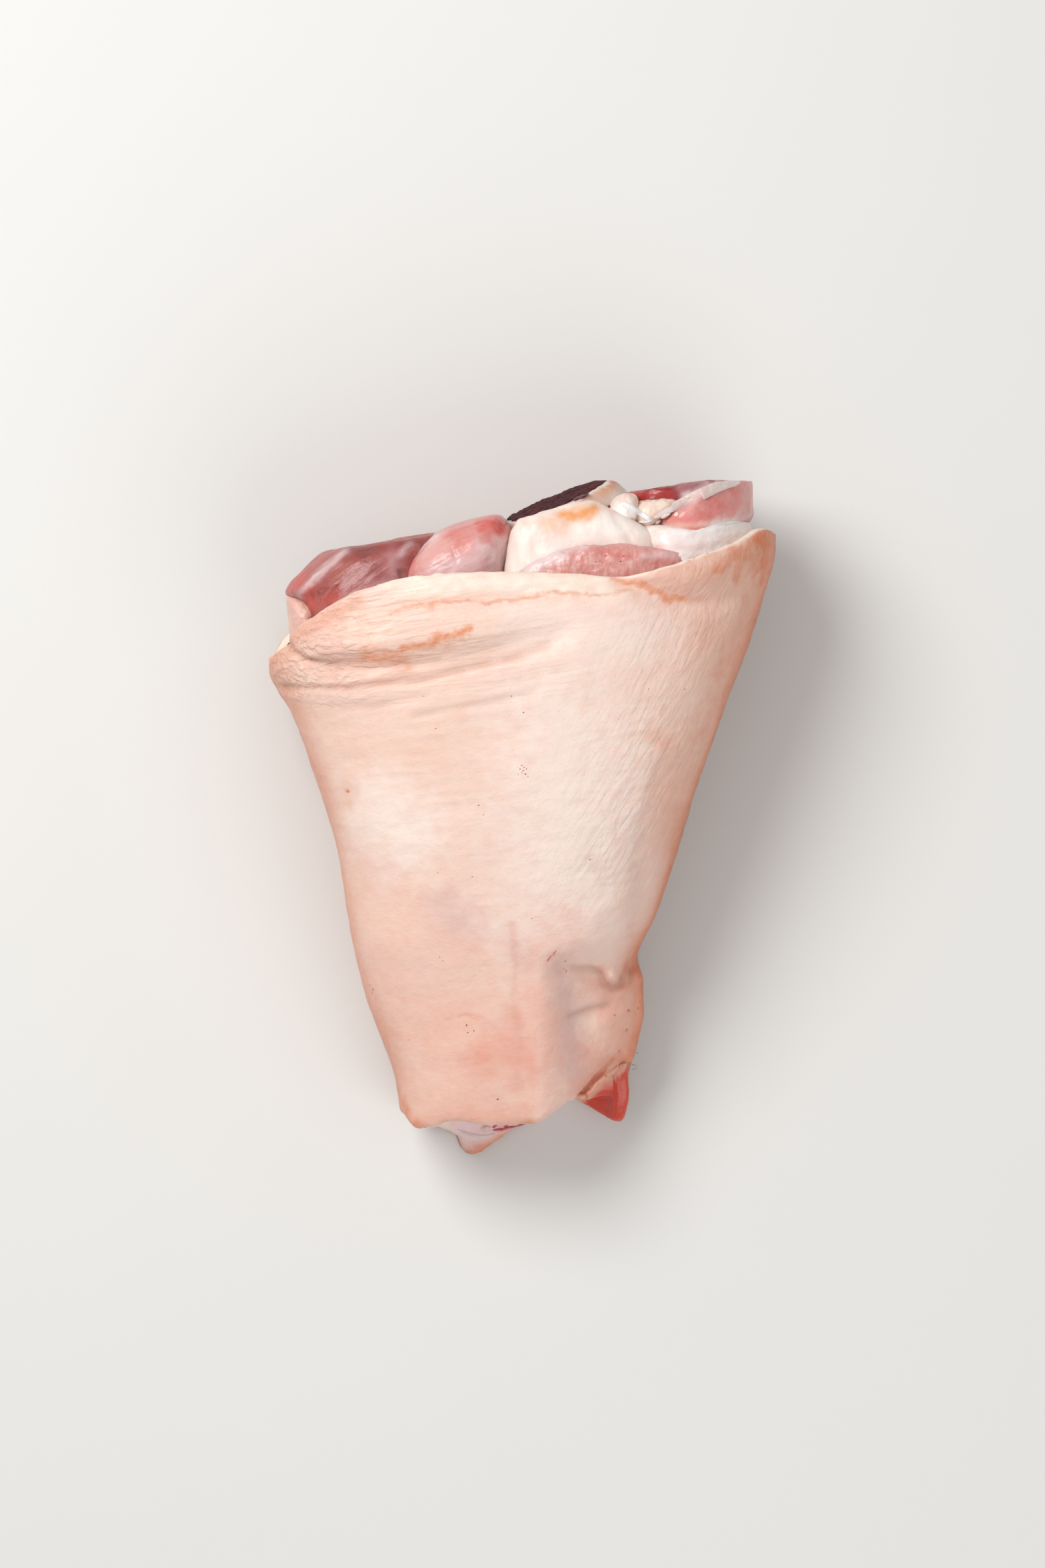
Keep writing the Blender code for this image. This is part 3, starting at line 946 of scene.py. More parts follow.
@dataclass(frozen=True)
class LegForm:
    """The form of the leg: its outline, height, squared-off sections, folds and hems."""

    left_edge: Chain = (
        (-107, -38.2), (-95, -38.4), (-84.7, -39.7), (-71.3, -43.9), (-57.9, -48.9), (-44.4, -52.5),
        (-27.6, -55.4),
        (-7.5, -59.2), (12.7, -65.1), (32.9, -72.9), (40, -77.2), (47, -80), (70, -81.4),
    )
    right_edge: Chain = (
        (-107, 35.6), (-90, 35), (-81.4, 33.8), (-78, 34.4), (-71.3, 36.1), (-61.2, 38), (-52, 37.7),
        (-44.4, 36.2),
        (-31, 42.2), (-20.9, 45.6), (-7.5, 49.8), (9.3, 54.8), (22.8, 59.6), (39.6, 65.3), (56.4, 71.8),
        (69.8, 76),
        (79.9, 79), (89, 80), (99, 79),
    )
    height: Chain = (
        (-107, 40), (-90, 47), (-70, 53), (-40, 62), (-10, 71.5), (20, 79.5), (50, 85.5), (75, 86.5),
        (105, 80),
    )
    widest_level: float = 0.44
    squareness: tuple[float, ...] = (2.6, 2.8, 3.0, 2.8)  # right top, left top, left and right under
    floor_sink: float = 2.6
    floor_softness: float = 1.6
    unevenness: float = 0.55
    uneven_size: float = 26.0
    uneven_rise: float = 2.0  # how many times stronger it is upwards than across
    rind_thickness: float = 4.0
    rim_round: float = 1.3
    collar_hem_up: Chain = (
        (-79.5, 49.5), (-72, 56.6), (-64, 62.9), (-47, 71.5), (-30, 75.3), (-5, 76.5), (16, 76.2), (33, 74.9),
        (48, 78.2), (58, 81.6), (69, 86), (77, 90.4), (80, 89),
    )
    collar_hem_under: Chain = (
        (-79.5, 49.5), (-70, 60), (-50, 70), (-20, 78), (10, 82), (40, 86), (70, 90), (80, 89),
    )
    hock_hem_up: Chain = (
        (-38.5, -93.5), (-34.2, -98.2), (-28, -97.2), (-23, -95.8), (-10, -97), (4, -96.4), (12, -92),
        (16.4, -89.1),
        (21.4, -88.9), (26.7, -84.7), (31.7, -81), (35, -78),
    )
    hock_hem_under: Chain = (
        (-38.5, -93.5), (-32, -96.6), (-27, -98.6), (-21.8, -101.2), (-19.4, -106.2), (-17.2, -106.8),
        (-10, -103),
        (-3, -98.6), (6, -93.5), (16.4, -88.2), (22, -91), (28.4, -94.6), (31.8, -96.4), (33.6, -92),
        (35, -78),
    )
    hem_blend: float = 0.2
    folds: tuple[Fold, ...] = (
        Fold(((-78, 49), (-58, 52), (-36, 57), (-12, 60)), 8.0, -2.2),
        Fold(((-78, 43), (-55, 45.5), (-36, 46.7), (-17, 49.3), (0, 53.5), (12, 56.6)), 4.6, 3.0),
        Fold(((-72, 55), (-66, 50.2), (-56, 48.6), (-46, 48.5)), 3.2, 1.6),
        Fold(((-46, 66), (-30, 67.6), (-10, 67.8), (14, 69.5), (33, 72), (42, 70)), 3.4, 0.8),
        Fold(((33, 74), (42.5, 69.8), (50, 67.5), (60, 67.5), (70, 71.5), (77, 76.5)), 4.5, 2.4),
        Fold(((44, 76), (58, 76), (70, 81)), 7.0, -1.6),
        Fold(((-38, 38.4), (-17, 40.5), (1.5, 43), (14, 45.5)), 3.6, 0.8),
        Fold(((7.6, -47), (12, -53.7), (14.5, -58), (14.8, -65), (14.6, -72), (15.4, -80)), 4.2, 0.5),
        Fold(((27, -49), (29.5, -50.5)), 4.5, -2.2),
        Fold(((38, -42), (33, -48), (30.7, -52.6), (27.7, -54.8), (23.4, -50.5), (14, -48)), 2.8, 2.3),
        Fold(((15, -65), (23.5, -61.8), (32, -58)), 2.6, 1.3),
        Fold(((16.5, -89), (23, -81.5), (29.5, -75)), 2.4, 2.2),
    )
    side_fade: float = 0.45
    shelf_depth: float = 9.0
    shelf_edge: Pair = (4.0, 23.0)
    shelf_range: Pair = (-38.0, -53.0)
    band_drop: float = 2.2
    band_width: float = 6.5
    band_span: Window = (-52.0, -34.0, 22.0, 36.0)
    tuck: float = 0.925
    tuck_softness: float = 0.05
    left_edge_at: Spline = derived()
    right_edge_at: Spline = derived()
    height_at: Spline = derived()
    collar_hem_up_at: Spline = derived()
    collar_at: Callable[[Array, Array], Array] = derived()
    hock_at: Callable[[Array, Array], Array] = derived()

    def __post_init__(self) -> None:
        """Makes the smooth curves from the knots."""
        for name in ("left_edge", "right_edge", "height", "collar_hem_up"):
            object.__setattr__(self, f"{name}_at", Spline(getattr(self, name)))
        object.__setattr__(self, "collar_at", hem(self.collar_hem_up, self.collar_hem_under, self.hem_blend))
        object.__setattr__(self, "hock_at", hem(self.hock_hem_up, self.hock_hem_under, self.hem_blend))

    def power(self, across: Array, up: Array) -> Array:
        """How square a section is in the quarter that each place lies in."""
        right_top, left_top, left_under, right_under = self.squareness
        top = np.where(across >= 0, right_top, left_top)
        return np.where(up >= 0, top, np.where(across >= 0, right_under, left_under))

    def section(self, turn: Array) -> tuple[Array, Array]:
        """The point (across, up) of a squared-off circle of radius 1 at turns of 0 to 1."""
        across, up = np.cos(2 * np.pi * turn), np.sin(2 * np.pi * turn)
        power = self.power(across, up)
        reach = (np.abs(across) ** power + np.abs(up) ** power) ** (-1 / power)
        return across * reach, up * reach

    def relief(self, x: Array, y: Array) -> Array:
        """How deep the folds and hollows of the upper side are."""
        depth = self.shelf_depth * smooth_step(*self.shelf_edge, x) * smooth_step(*self.shelf_range, y)
        near_hem = smooth_step(-self.band_width, 0.0, y - self.collar_hem_up_at(x))
        depth += self.band_drop * window(self.band_span, x) * near_hem
        return depth + fold_depth(x, y, self.folds)

    def rind(self, across: Array, up: Array, y: Array) -> Array:
        """The rind's outer surface.

        Args:
            across: Places across the unit section.
            up: Places up it.
            y: Y of the sections.

        Returns:
            The points.
        """
        left, right, top = self.left_edge_at(y), self.right_edge_at(y), self.height_at(y)
        level = top * self.widest_level
        rise = np.where(up >= 0, top - level, level + self.floor_sink)
        points = np.stack([(left + right) / 2 + (right - left) / 2 * across, y, level + rise * up], axis=-1)
        uneven = self.unevenness * noise_at(points, self.uneven_size)
        points[:, 2] += self.uneven_rise * uneven * up
        points[:, 0] += uneven * across
        fade = np.clip(up / self.side_fade, 0.0, 1.0)
        points[:, 2] -= self.relief(points[:, 0], points[:, 1]) * fade
        points[:, 2] = -soft_minimum(-points[:, 2], 0.0, self.floor_softness)
        return points

    def tucked(self, points: Array) -> Array:
        """The points, moved in towards the leg's middle where they would come out through the rind."""
        x, y, z = points.T
        middle = (self.left_edge_at(y) + self.right_edge_at(y)) / 2
        half = (self.right_edge_at(y) - self.left_edge_at(y)) / 2
        top = self.height_at(y)
        level = top * self.widest_level
        across = (x - middle) / half
        up = (z - level) / np.where(z >= level, top - level, level)
        power = self.power(across, up)
        size = (np.abs(across) ** power + np.abs(up) ** power) ** (1 / power)
        size = np.maximum(size, self.tuck_softness)
        keep = soft_minimum(size, self.tuck, self.tuck_softness) / size
        return np.stack([middle + (x - middle) * keep, y, level + (z - level) * keep], axis=-1)


LEG = LegForm()


@dataclass
class Rind:
    """The rind: a sleeve of skin with folds, two hems, and the cut face in its hock end.

    A pair named for X, Y, a level, a step or a reach says where something begins and where it is full. Levels
    run from -1 under the leg to 1 on top, steps are those of a mouth, and reaches are distances from a hem.
    """

    around_up: int = 200
    around_under: int = 84
    rings_along: int = 312
    hock_rings: int = 26
    collar_rings: int = 8
    spread: Chain = ((0.0, 0.0), (0.12, 0.10), (0.21, 0.20), (0.41, 0.36), (0.6, 0.56), (0.72, 0.69),
                     (1.0, 1.0))
    hock_centre: Triple = (-4.0, -91.2, 21.0)
    hock_face_y: float = -88.2
    hock_recess: float = 3.0
    hock_wall: float = 1.6
    collar_centre: Triple = (2.0, 68.4, 42.0)
    collar_recess: float = 5.0
    collar_wall: float = 1.2
    mouth_lip: float = 0.7
    mouth_bulge: float = 0.35  # how far the cut edge of the skin bulges out
    hock_steps: Chain = ((0.0, 0.0), (0.5, 2.0), (1.0, 3.0))  # share of the rings, and the step there
    collar_steps: Chain = ((0.0, 0.0), (1.0, 3.0))
    rim_reach: float = 2.4  # the skin turns in over this length before a hem
    rim_turn: float = 0.98  # how nearly it has turned in at the hem
    torn_section: Pair = (60.0, 40.0)  # the size of the section on which the hems' raggedness is read
    torn_size: float = 2.6
    torn_depths: Pair = (0.35, 0.3)  # of the hock's hem and of the collar's
    wrinkles: Ripple = Ripple(0.5, 3.0, (9.0, 1.0, 3.0), 9.0, ridged=True)
    creping: Ripple = Ripple(0.15, 3.4, (5.0, 1.0, 3.0), 8.0, 2.6, ridged=True)
    strokes: Ripple = Ripple(0.2, 3.0, (4.0, 1.0, 2.0), 62.0, 6.6, ridged=True)
    swells: Ripple = Ripple(0.22, 7.0, (1.6, 1.0, 1.0), 15.0, 4.4)
    grain: Ripple = Ripple(0.08, 2.2, (1.8, 1.0, 1.0), 20.0, 8.8)
    fat_lumps: Ripple = Ripple(0.5, 2.1, (1.6, 1.0, 1.0), 0.0, 1.2)
    flesh_lumps: Ripple = Ripple(0.5, 3.0, shift=1.9)
    puckers: Ripple = Ripple(0.3, 2.2, (3.0, 1.0, 1.0), -20.0, 3.7, ridged=True)
    rolled_y: Pair = (30.0, 44.0)
    rolled_x: Pair = (50.0, -30.0)
    rolled_most_x: Pair = (-20.0, -70.0)
    rolled_least: float = 0.4
    crept_y: Pair = (-45.0, -10.0)
    stroked_x: Pair = (-10.0, 45.0)
    stroked_slant: float = 0.4
    stroked_y: Pair = (-40.0, 0.0)
    fat_lump_reach: Pair = (7.6, 6.4)
    flesh_step: Pair = (1.8, 2.2)
    pucker_step: Pair = (0.6, 1.2)
    stain_level: Pair = (-0.1, 0.45)
    crease_shade: float = 0.4
    level_waver: Ripple = Ripple(0.16, 15.0, (1.0, 2.0, 1.0), 10.0, 6.4)
    # Towards the flanks: the EDGE tan, partly the skin's own darker colour and partly painted shade, and the
    # SHADE tint, painted shade; both are stronger on the right flank, which lies away from the key lamp.
    flank_tan_and_shade: tuple[tuple[Tint, Pair, Pair], ...] = (  # tint, level, share on the right and on the left
        (Tint.EDGE, (0.9, 0.1), (0.95, 0.68)),
        (Tint.SHADE, (0.45, -0.4), (0.85, 0.45)),
    )
    band_reach: Pair = (7.4, 6.2)
    band_share: float = 0.75
    band_patches: Ripple = Ripple(0.5, 3.0, (2.0, 1.0, 1.0), 0.0, 2.8)
    inside_reach: Pair = (0.5, 0.1)
    collar_fat: float = 0.9
    film_tip: tuple[Chain, float] = (((-18.0, -107), (-12, -105), (2, -97.8)), 2.6)
    film_tip_edge: float = 0.85
    film_cream: tuple[Chain, float] = (((-27.0, -96.8), (-23.6, -97.8)), 1.7)
    film_from_step: float = 0.9
    film_share: float = 0.85
    film_patches: Ripple = Ripple(0.4, 3.0)
    flap_x: Pair = (14.0, 18.0)
    flap_edge: float = 0.5
    raw_corner: Pair = (21.6, -88.6)  # a point of the line behind which the flap shows its raw inside
    raw_slope: float = 0.77
    raw_waver: Ripple = Ripple(0.8, 2.6, shift=5.5)
    raw_blend: Pair = (0.4, -0.6)
    raw_x: Pair = (19.0, 20.5)
    raw_from_step: float = 0.6
    raw_reach: Pair = (1.6, 0.6)
    fleck_y: Pair = (-100.5, -98.0)
    fleck_x: Window = (-16.0, -11.0, 3.0, 8.0)
    fleck_noise: Ripple = Ripple(1.0, 1.8, (1.6, 1.0, 1.0), 10.0, 4.0)
    fleck_blend: Pair = (0.05, 0.3)
    fleck_share: float = 0.4
    creases: tuple[Fold, ...] = (
        Fold(((-80, 41.5), (-74.5, 40.4), (-64.7, 40.6), (-55.2, 40.4), (-44.3, 42.1), (-30.7, 43.4),
              (-17.6, 46.7),
              (-3.1, 50.1), (8, 54)), 1.3, 1.1),
        Fold(((-74.5, 56.5), (-73.4, 54.2), (-71.8, 51.8), (-69, 49.8), (-64.7, 48.3), (-59.6, 47.8),
              (-50, 48)), 1.2,
             1.3),
        Fold(((-66, 46.5), (-52, 45.8), (-40, 47.3), (-26, 48.8)), 1.0, 0.5),
        Fold(((-33.4, 31.4), (-23.5, 33.7), (-11.3, 35.8), (3.4, 39.2)), 1.4, 0.55),
        Fold(((-60, 34.5), (-44, 35), (-30, 38)), 1.6, 0.4),
        Fold(((-3.4, -34), (-2.0, -46), (-3.0, -58), (-1.4, -68), (-0.6, -76), (-2.2, -84)), 1.4, 0.16),
        Fold(((-24, -77.2), (-20.5, -77.0), (-16.5, -76.2)), 0.6, 0.1),
        Fold(((-24.5, -63.9), (-21, -62.8), (-17.6, -62.3), (-13.5, -63), (-10.3, -65.4)), 0.6, 0.16),
        Fold(((36.5, -43.6), (33.6, -47), (32.2, -49.7), (30.9, -52.9), (28.8, -54.3), (26, -52.9),
              (24.5, -49.7),
              (21.7, -48.1), (16, -47.9)), 1.2, 0.95),
        Fold(((36.8, -45.5), (34.8, -48.5), (34, -52)), 0.9, 0.85),
        Fold(((28.6, -49.4), (27.2, -50.6)), 1.7, -1.0),
        Fold(((37, -49.5), (36.6, -52)), 1.4, -0.6),
        Fold(((14.7, -62.9), (20.2, -61), (27.4, -58.9)), 1.0, 0.7),
        Fold(((46, 20), (41, 8), (37, -8), (35.5, -24)), 3.0, 0.3),
    )
    steps: tuple[Step, ...] = (
        Step(((44, 68.5), (33.6, 70.9), (24.6, 69.2), (10.1, 70.2), (3.4, 68.6), (-10.3, 66.9), (-17.8, 67.3),
              (-27.9, 66.9), (-40.7, 63.9), (-48, 61)), 0.9, 0.7, 9.0),
        Step(((15.0, -91.5), (17.4, -88.4), (22.9, -81.8), (28.8, -75.7), (32, -73.5)), 2.2, 0.8, 12.0),
        Step(((-74.2, 57), (-73.2, 54), (-71.4, 51.4), (-68.6, 49.6), (-63.7, 48.3), (-55, 47.8)), 1.2, 1.2,
             7.0),
    )
    stains: tuple[Stain, ...] = (
        Stain(Tint.PALE, ((13.9, 26.1), (16, -26.4)), 26.0, 0.72),
        Stain(Tint.PALE, ((-47, 2), (-36.5, -5.4)), 13.0, 0.8),
        Stain(Tint.PALE, ((3.4, 60.8), (34.9, 55.5)), 12.0, 0.6),
        Stain(Tint.PALE, ((-44, 57), (-20, 62)), 7.0, 0.15),
        Stain(Tint.PALE, ((-30, -46), (-22, -50)), 9.0, 0.3),
        Stain(Tint.EDGE, ((-76.0, 52.5), (-72.9, 54.5), (-67.8, 58.7), (-60.7, 62.9), (-52.1, 66.7)), 2.8,
              0.4),
        Stain(Tint.EDGE, ((-78.1, 50.3), (-77.4, 44)), 5.0, 0.22),
        Stain(Tint.EDGE, ((-63.8, 50.3), (-38.6, 50.3)), 5.0, 0.12),
        Stain(Tint.EDGE, ((28, 75.4), (37.8, 72.4), (42.8, 70.2), (48.2, 68.6), (56.2, 68.4)), 2.4, 0.42,
              0.8),
        Stain(Tint.EDGE, ((56.2, 67.2), (62.4, 69.6), (74.8, 74.4)), 3.4, 0.3),
        Stain(Tint.EDGE, ((13.9, 73.6), (30.7, 72.3)), 2.4, 0.42),
        Stain(Tint.EDGE, ((45.4, 73.5), (58, 75.6), (68.5, 78.8), (76.9, 82)), 7.5, 0.36),
        Stain(Tint.EDGE, ((75, 88), (78.5, 82.8), (77, 76.5)), 6.0, 1.0),
        Stain(Tint.EDGE, ((64, 79), (71, 83), (76, 80)), 6.0, 0.7, 0.9),
        # orange tan along the right flank, partly the skin's own colour and partly painted shade on the side
        # away from the key lamp
        Stain(Tint.EDGE, ((76, 76.5), (71.7, 67.1), (67.5, 54.5), (60, 30), (52, 6)), 6.0, 0.5),
        Stain(Tint.EDGE, ((-54.8, 9.5), (-56, 4)), 4.0, 0.25),
        Stain(Tint.EDGE, ((-39, -90), (-37.5, -95), (-33, -98.6)), 3.6, 0.75),
        Stain(Tint.EDGE, ((-40.5, -81.4), (-38, -93.1)), 2.6, 0.3),
        Stain(Tint.EDGE, ((-30.2, -95.2), (-17.6, -94.7), (0, -94)), 3.4, 0.26),
        Stain(Tint.EDGE, ((36.3, -57.9), (34.4, -78.9)), 3.0, 0.25),
        # painted crease shade: darker orange just below the fold line of the heel's flap
        Stain(Tint.EDGE, ((18.9, -89.2), (24.6, -81.8), (30.2, -76.6)), 0.9, 0.6),
        Stain(Tint.EDGE, ((20, -89), (26.5, -83.4), (33, -78.8)), 2.0, 0.2),
        Stain(Tint.TAN, ((-28.2, 55.7), (-22.4, 56.6), (-16.4, 58.0)), 1.6, 1.0, 0.9),
        Stain(Tint.TAN, ((-38, 52.2), (-30.5, 54.0), (-25, 55.8)), 1.6, 0.9, 0.9),
        Stain(Tint.TAN, ((-49, 50.8), (-44, 49.6), (-38, 48.4)), 2.4, 0.75, 0.9),
        Stain(Tint.TAN, ((-34, 51.5), (-28, 52.8), (-20, 54.2)), 2.0, 0.3, 0.9),
        Stain(Tint.TAN, ((-40.9, 64.0), (-38.9, 64.6)), 1.1, 0.5, 0.9),
        Stain(Tint.TAN, ((-31, 65.2), (-27.4, 65.8)), 1.1, 0.55, 0.9),
        Stain(Tint.TAN, ((-37, 65.5), (-27.9, 66.9), (-17.8, 67.3), (-10.3, 66.9), (3.4, 68.6), (10.1, 70.2),
                         (24.6, 69.2), (33.6, 70.9)), 0.9, 0.5, 0.9),
        Stain(Tint.TAN, ((28, 74.2), (38.6, 71.8), (43.3, 69.7), (49.6, 67.8)), 1.3, 0.85, 1.2),
        Stain(Tint.TAN, ((-54.8, 7.9),), 0.9, 0.8),
        Stain(Tint.TAN, ((-24.5, -63.9), (-17.6, -62.3), (-10.3, -65.4)), 0.5, 0.3),
        Stain(Tint.BLUSH, ((-3.4, -34), (-2.0, -46), (-3.0, -58), (-1.4, -68), (-0.6, -76), (-2.2, -88)), 1.7,
              0.3),
        Stain(Tint.BLUSH, ((-12, -76), (-5, -73), (2, -77)), 10.0, 0.62, 0.3),
        Stain(Tint.BLUSH, ((-3, -62), (-2, -84)), 5.0, 0.5, 0.3),
        Stain(Tint.BLUSH, ((17.4, -87.4), (22.9, -80.6), (27.8, -75.7)), 2.2, 0.7),
        Stain(Tint.BLUSH, ((4, -55), (9, -66), (10, -76)), 7.0, 0.4),
        Stain(Tint.BLUSH, ((-23.5, -64.2), (-17.6, -62.3), (-10.3, -64.8)), 2.4, 0.3),
        Stain(Tint.BLUSH, ((17.9, -74.5), (24.4, -76.8), (18.1, -87.3)), 6.0, 0.5),
        Stain(Tint.BLUSH, ((-26.2, -53.7), (-17.6, -78.9), (-5, -91.5)), 22.0, 0.26),
        Stain(Tint.BLUSH, ((12, -38), (2, -60), (4, -84)), 12.0, 0.3),
        Stain(Tint.BLUSH, ((40.1, 26.1), (44.5, 22.8)), 2.2, 0.3),
        Stain(Tint.BLUSH, ((24.4, -53.7), (32.8, -76.8)), 7.0, 0.4),
        Stain(Tint.BLUSH, ((32, -47), (35, -48.5)), 2.0, 0.4),
        Stain(Tint.BLUSH, ((30.5, -50), (32.6, -53.5), (28, -55)), 1.5, 0.4),
        # painted highlights on the heel's two small bumps
        Stain(Tint.PALE, ((27.6, -49.6), (27, -51)), 1.8, 0.7),
        Stain(Tint.PALE, ((37, -49.8), (36.4, -52)), 1.6, 0.8),
        Stain(Tint.LILAC, ((-25.6, -28), (-19.7, -32.7)), 6.5, 0.35),
        Stain(Tint.LILAC, ((-2.9, -41.1), (1.3, -45.3)), 3.6, 0.3),
        # painted shadow: lilac-grey shade along the slope to the right of the shin
        Stain(Tint.LILAC, ((9.6, -46), (13, -53.7), (14.2, -60), (15, -66.4), (16.4, -73.7), (16, -80)), 3.6,
              0.45),
        Stain(Tint.LILAC, ((20.2, -12.7), (23.3, -15.9)), 2.2, 0.2),
        Stain(Tint.LILAC, ((34.9, -15.9), (33.8, -36.9)), 2.2, 0.2),
    )
    across: Array = derived()
    up: Array = derived()
    along: Array = derived()
    step: Array = derived()
    to_collar: Array = derived()
    to_hock: Array = derived()

    def mouth(self, start: Array, hem_y: Array, step: Array, at_hock: bool) -> Array:
        """A mouth of the rind: in over the hem's edge, back to its floor and to the floor's middle.

        Args:
            start: The outer surface at the hem.
            hem_y: The hem's Y.
            step: 0 at the hem, 1 at its inner edge, 2 at the floor's rim and 3 at the floor's middle.
            at_hock: Whether it is the hock's mouth.

        Returns:
            The points.
        """
        centre = np.array(self.hock_centre if at_hock else self.collar_centre)
        inwards = (centre - start) * np.array((1.0, 0.0, 1.0))
        length = np.linalg.norm(inwards, axis=-1, keepdims=True)
        unit = inwards / length
        lip = self.mouth_lip if at_hock else -self.mouth_lip
        hock_y, collar_y = np.maximum(hem_y + self.hock_recess, self.hock_face_y), hem_y - self.collar_recess
        wall = LEG.rind_thickness + (self.hock_wall if at_hock else self.collar_wall)
        edge = start + unit * LEG.rim_round
        inner = start + unit * LEG.rind_thickness
        inner[:, 1] += lip
        rim = start + unit * wall
        rim[:, 1] = hock_y if at_hock else collar_y
        stations = [edge, inner, rim, np.broadcast_to(centre, edge.shape)]
        points = np.zeros_like(start)
        for i, station in enumerate(stations):
            points += np.clip(1 - np.abs(step - i), 0, 1)[:, None] * station
        points[:, 1] -= self.mouth_bulge * np.sign(lip) * np.sin(np.pi * np.clip(step, 0, 1))
        return points

    def place(self, segment: Array, ring: Array) -> Array:
        """Where the sleeve has its points.

        Args:
            segment: Numbers round the leg, from the right flank over the top.
            ring: Numbers out from the hock's face, along the leg and in at the collar.

        Returns:
            The points, in millimetres.
        """
        turn = np.where(segment <= self.around_up, 0.5 * segment / self.around_up,
                        0.5 + 0.5 * (segment - self.around_up) / self.around_under)
        across, up = LEG.section(turn)
        low, high = LEG.hock_at(across, up), LEG.collar_at(across, up)
        half_width, half_height = self.torn_section
        torn = noise_at(np.stack([across * half_width, up * half_height, ring * 0], axis=-1), self.torn_size)
        low, high = (hem_y + depth * torn for hem_y, depth in zip((low, high), self.torn_depths))
        along = ring - self.hock_rings
        y = low + (high - low) * Spline(self.spread)(np.clip(along / self.rings_along, 0, 1))
        points = LEG.rind(across, up, y)
        for centre, distance in ((self.hock_centre, y - low), (self.collar_centre, high - y)):
            inwards = (np.array(centre) - points) * np.array((1.0, 0.0, 1.0))
            inwards /= np.linalg.norm(inwards, axis=-1, keepdims=True)
            t = np.clip(1 - distance / self.rim_reach, 0, 1)
            points += inwards * (LEG.rim_round * (1 - np.sqrt(1 - t * t * self.rim_turn)))[:, None]
        start_low, start_high = LEG.rind(across, up, low), LEG.rind(across, up, high)
        hock_step = np.interp(-along / self.hock_rings, *zip(*self.hock_steps))
        collar_step = np.interp((along - self.rings_along) / self.collar_rings, *zip(*self.collar_steps))
        points = np.where((along < 0)[:, None], self.mouth(start_low, low, hock_step, True), points)
        points = np.where((along > self.rings_along)[:, None],
                          self.mouth(start_high, high, collar_step, False), points)
        self.across, self.up, self.along = across, up, along
        self.step = np.where(along < 0, hock_step, np.where(along > self.rings_along, -collar_step, 0.0))
        self.to_collar, self.to_hock = high - y, y - low
        return points

    def build(self) -> bpy.types.Object:
        """Makes the sleeve.

        Returns:
            The piece.
        """
        rings = self.hock_rings + self.rings_along + self.collar_rings
        mesh = mapped_sphere(self.around_up + self.around_under, rings, self.place)
        points = points_of(mesh)
        x, y, _ = points.T
        skin = (self.step == 0).astype(float)
        upper = np.clip(self.up / LEG.side_fade, 0.0, 1.0) * skin
        heights = -(fold_depth(x, y, self.creases) + step_depth(x, y, self.steps)) * upper
        rolled = smooth_step(*self.rolled_y, y) * smooth_step(*self.rolled_x, x)
        rolled *= self.rolled_least + (1 - self.rolled_least) * smooth_step(*self.rolled_most_x, x)
        stroked = smooth_step(*self.stroked_x, x - self.stroked_slant * y) * skin
        stroked *= smooth_step(*self.stroked_y, y)
        slanted = window(LEG.band_span, x) * upper
        shares = (
            (self.wrinkles, rolled * skin),
            (self.creping, (1 - rolled) * smooth_step(*self.crept_y, y) * skin),
            (self.strokes, stroked),
            (self.swells, skin),
            (self.grain, skin),
            (self.fat_lumps, smooth_step(*self.fat_lump_reach, self.to_collar) * slanted),
            (self.flesh_lumps, smooth_step(*self.flesh_step, self.step)),
            (self.puckers, smooth_step(*self.pucker_step, self.step)),
        )
        for ripple, share in shares:
            heights += ripple.at(points) * share
        push(mesh, heights)
        paint = self.paint(points)
        paint.add(Tint.ROLL, rolled * upper)
        paint.add(Tint.STROKE, stroked)
        return finish_piece(mesh, "rind", SKIN.material(), "knuckle", paint)

    def paint(self, points: Array) -> Paint:
        """The rind's tints.

        Args:
            points: The sleeve's points.

        Returns:
            Its paint.
        """
        x, y, _ = points.T
        paint = Paint(points)
        skin = (self.step == 0).astype(float)
        upper = smooth_step(*self.stain_level, self.up) * skin
        paint.stain(self.stains, upper)
        paint.add(Tint.SHADE, np.clip(fold_depth(x, y, self.creases), 0, 1) * self.crease_shade * upper)
        level = self.up + self.level_waver.at(points)
        # darker tan and painted shade towards the flanks, more of both on the right flank
        for tint, span, shares in self.flank_tan_and_shade:
            paint.add(tint, smooth_step(*span, level) * skin * np.where(self.across > 0, *shares))
        band = window(LEG.band_span, x) * smooth_step(*self.band_reach, self.to_collar)
        patchy = self.band_share + self.band_patches.at(points)
        paint.add(Tint.FAT, np.clip(band * patchy, 0, 1) * upper)
        self.paint_mouths(paint)
        return paint

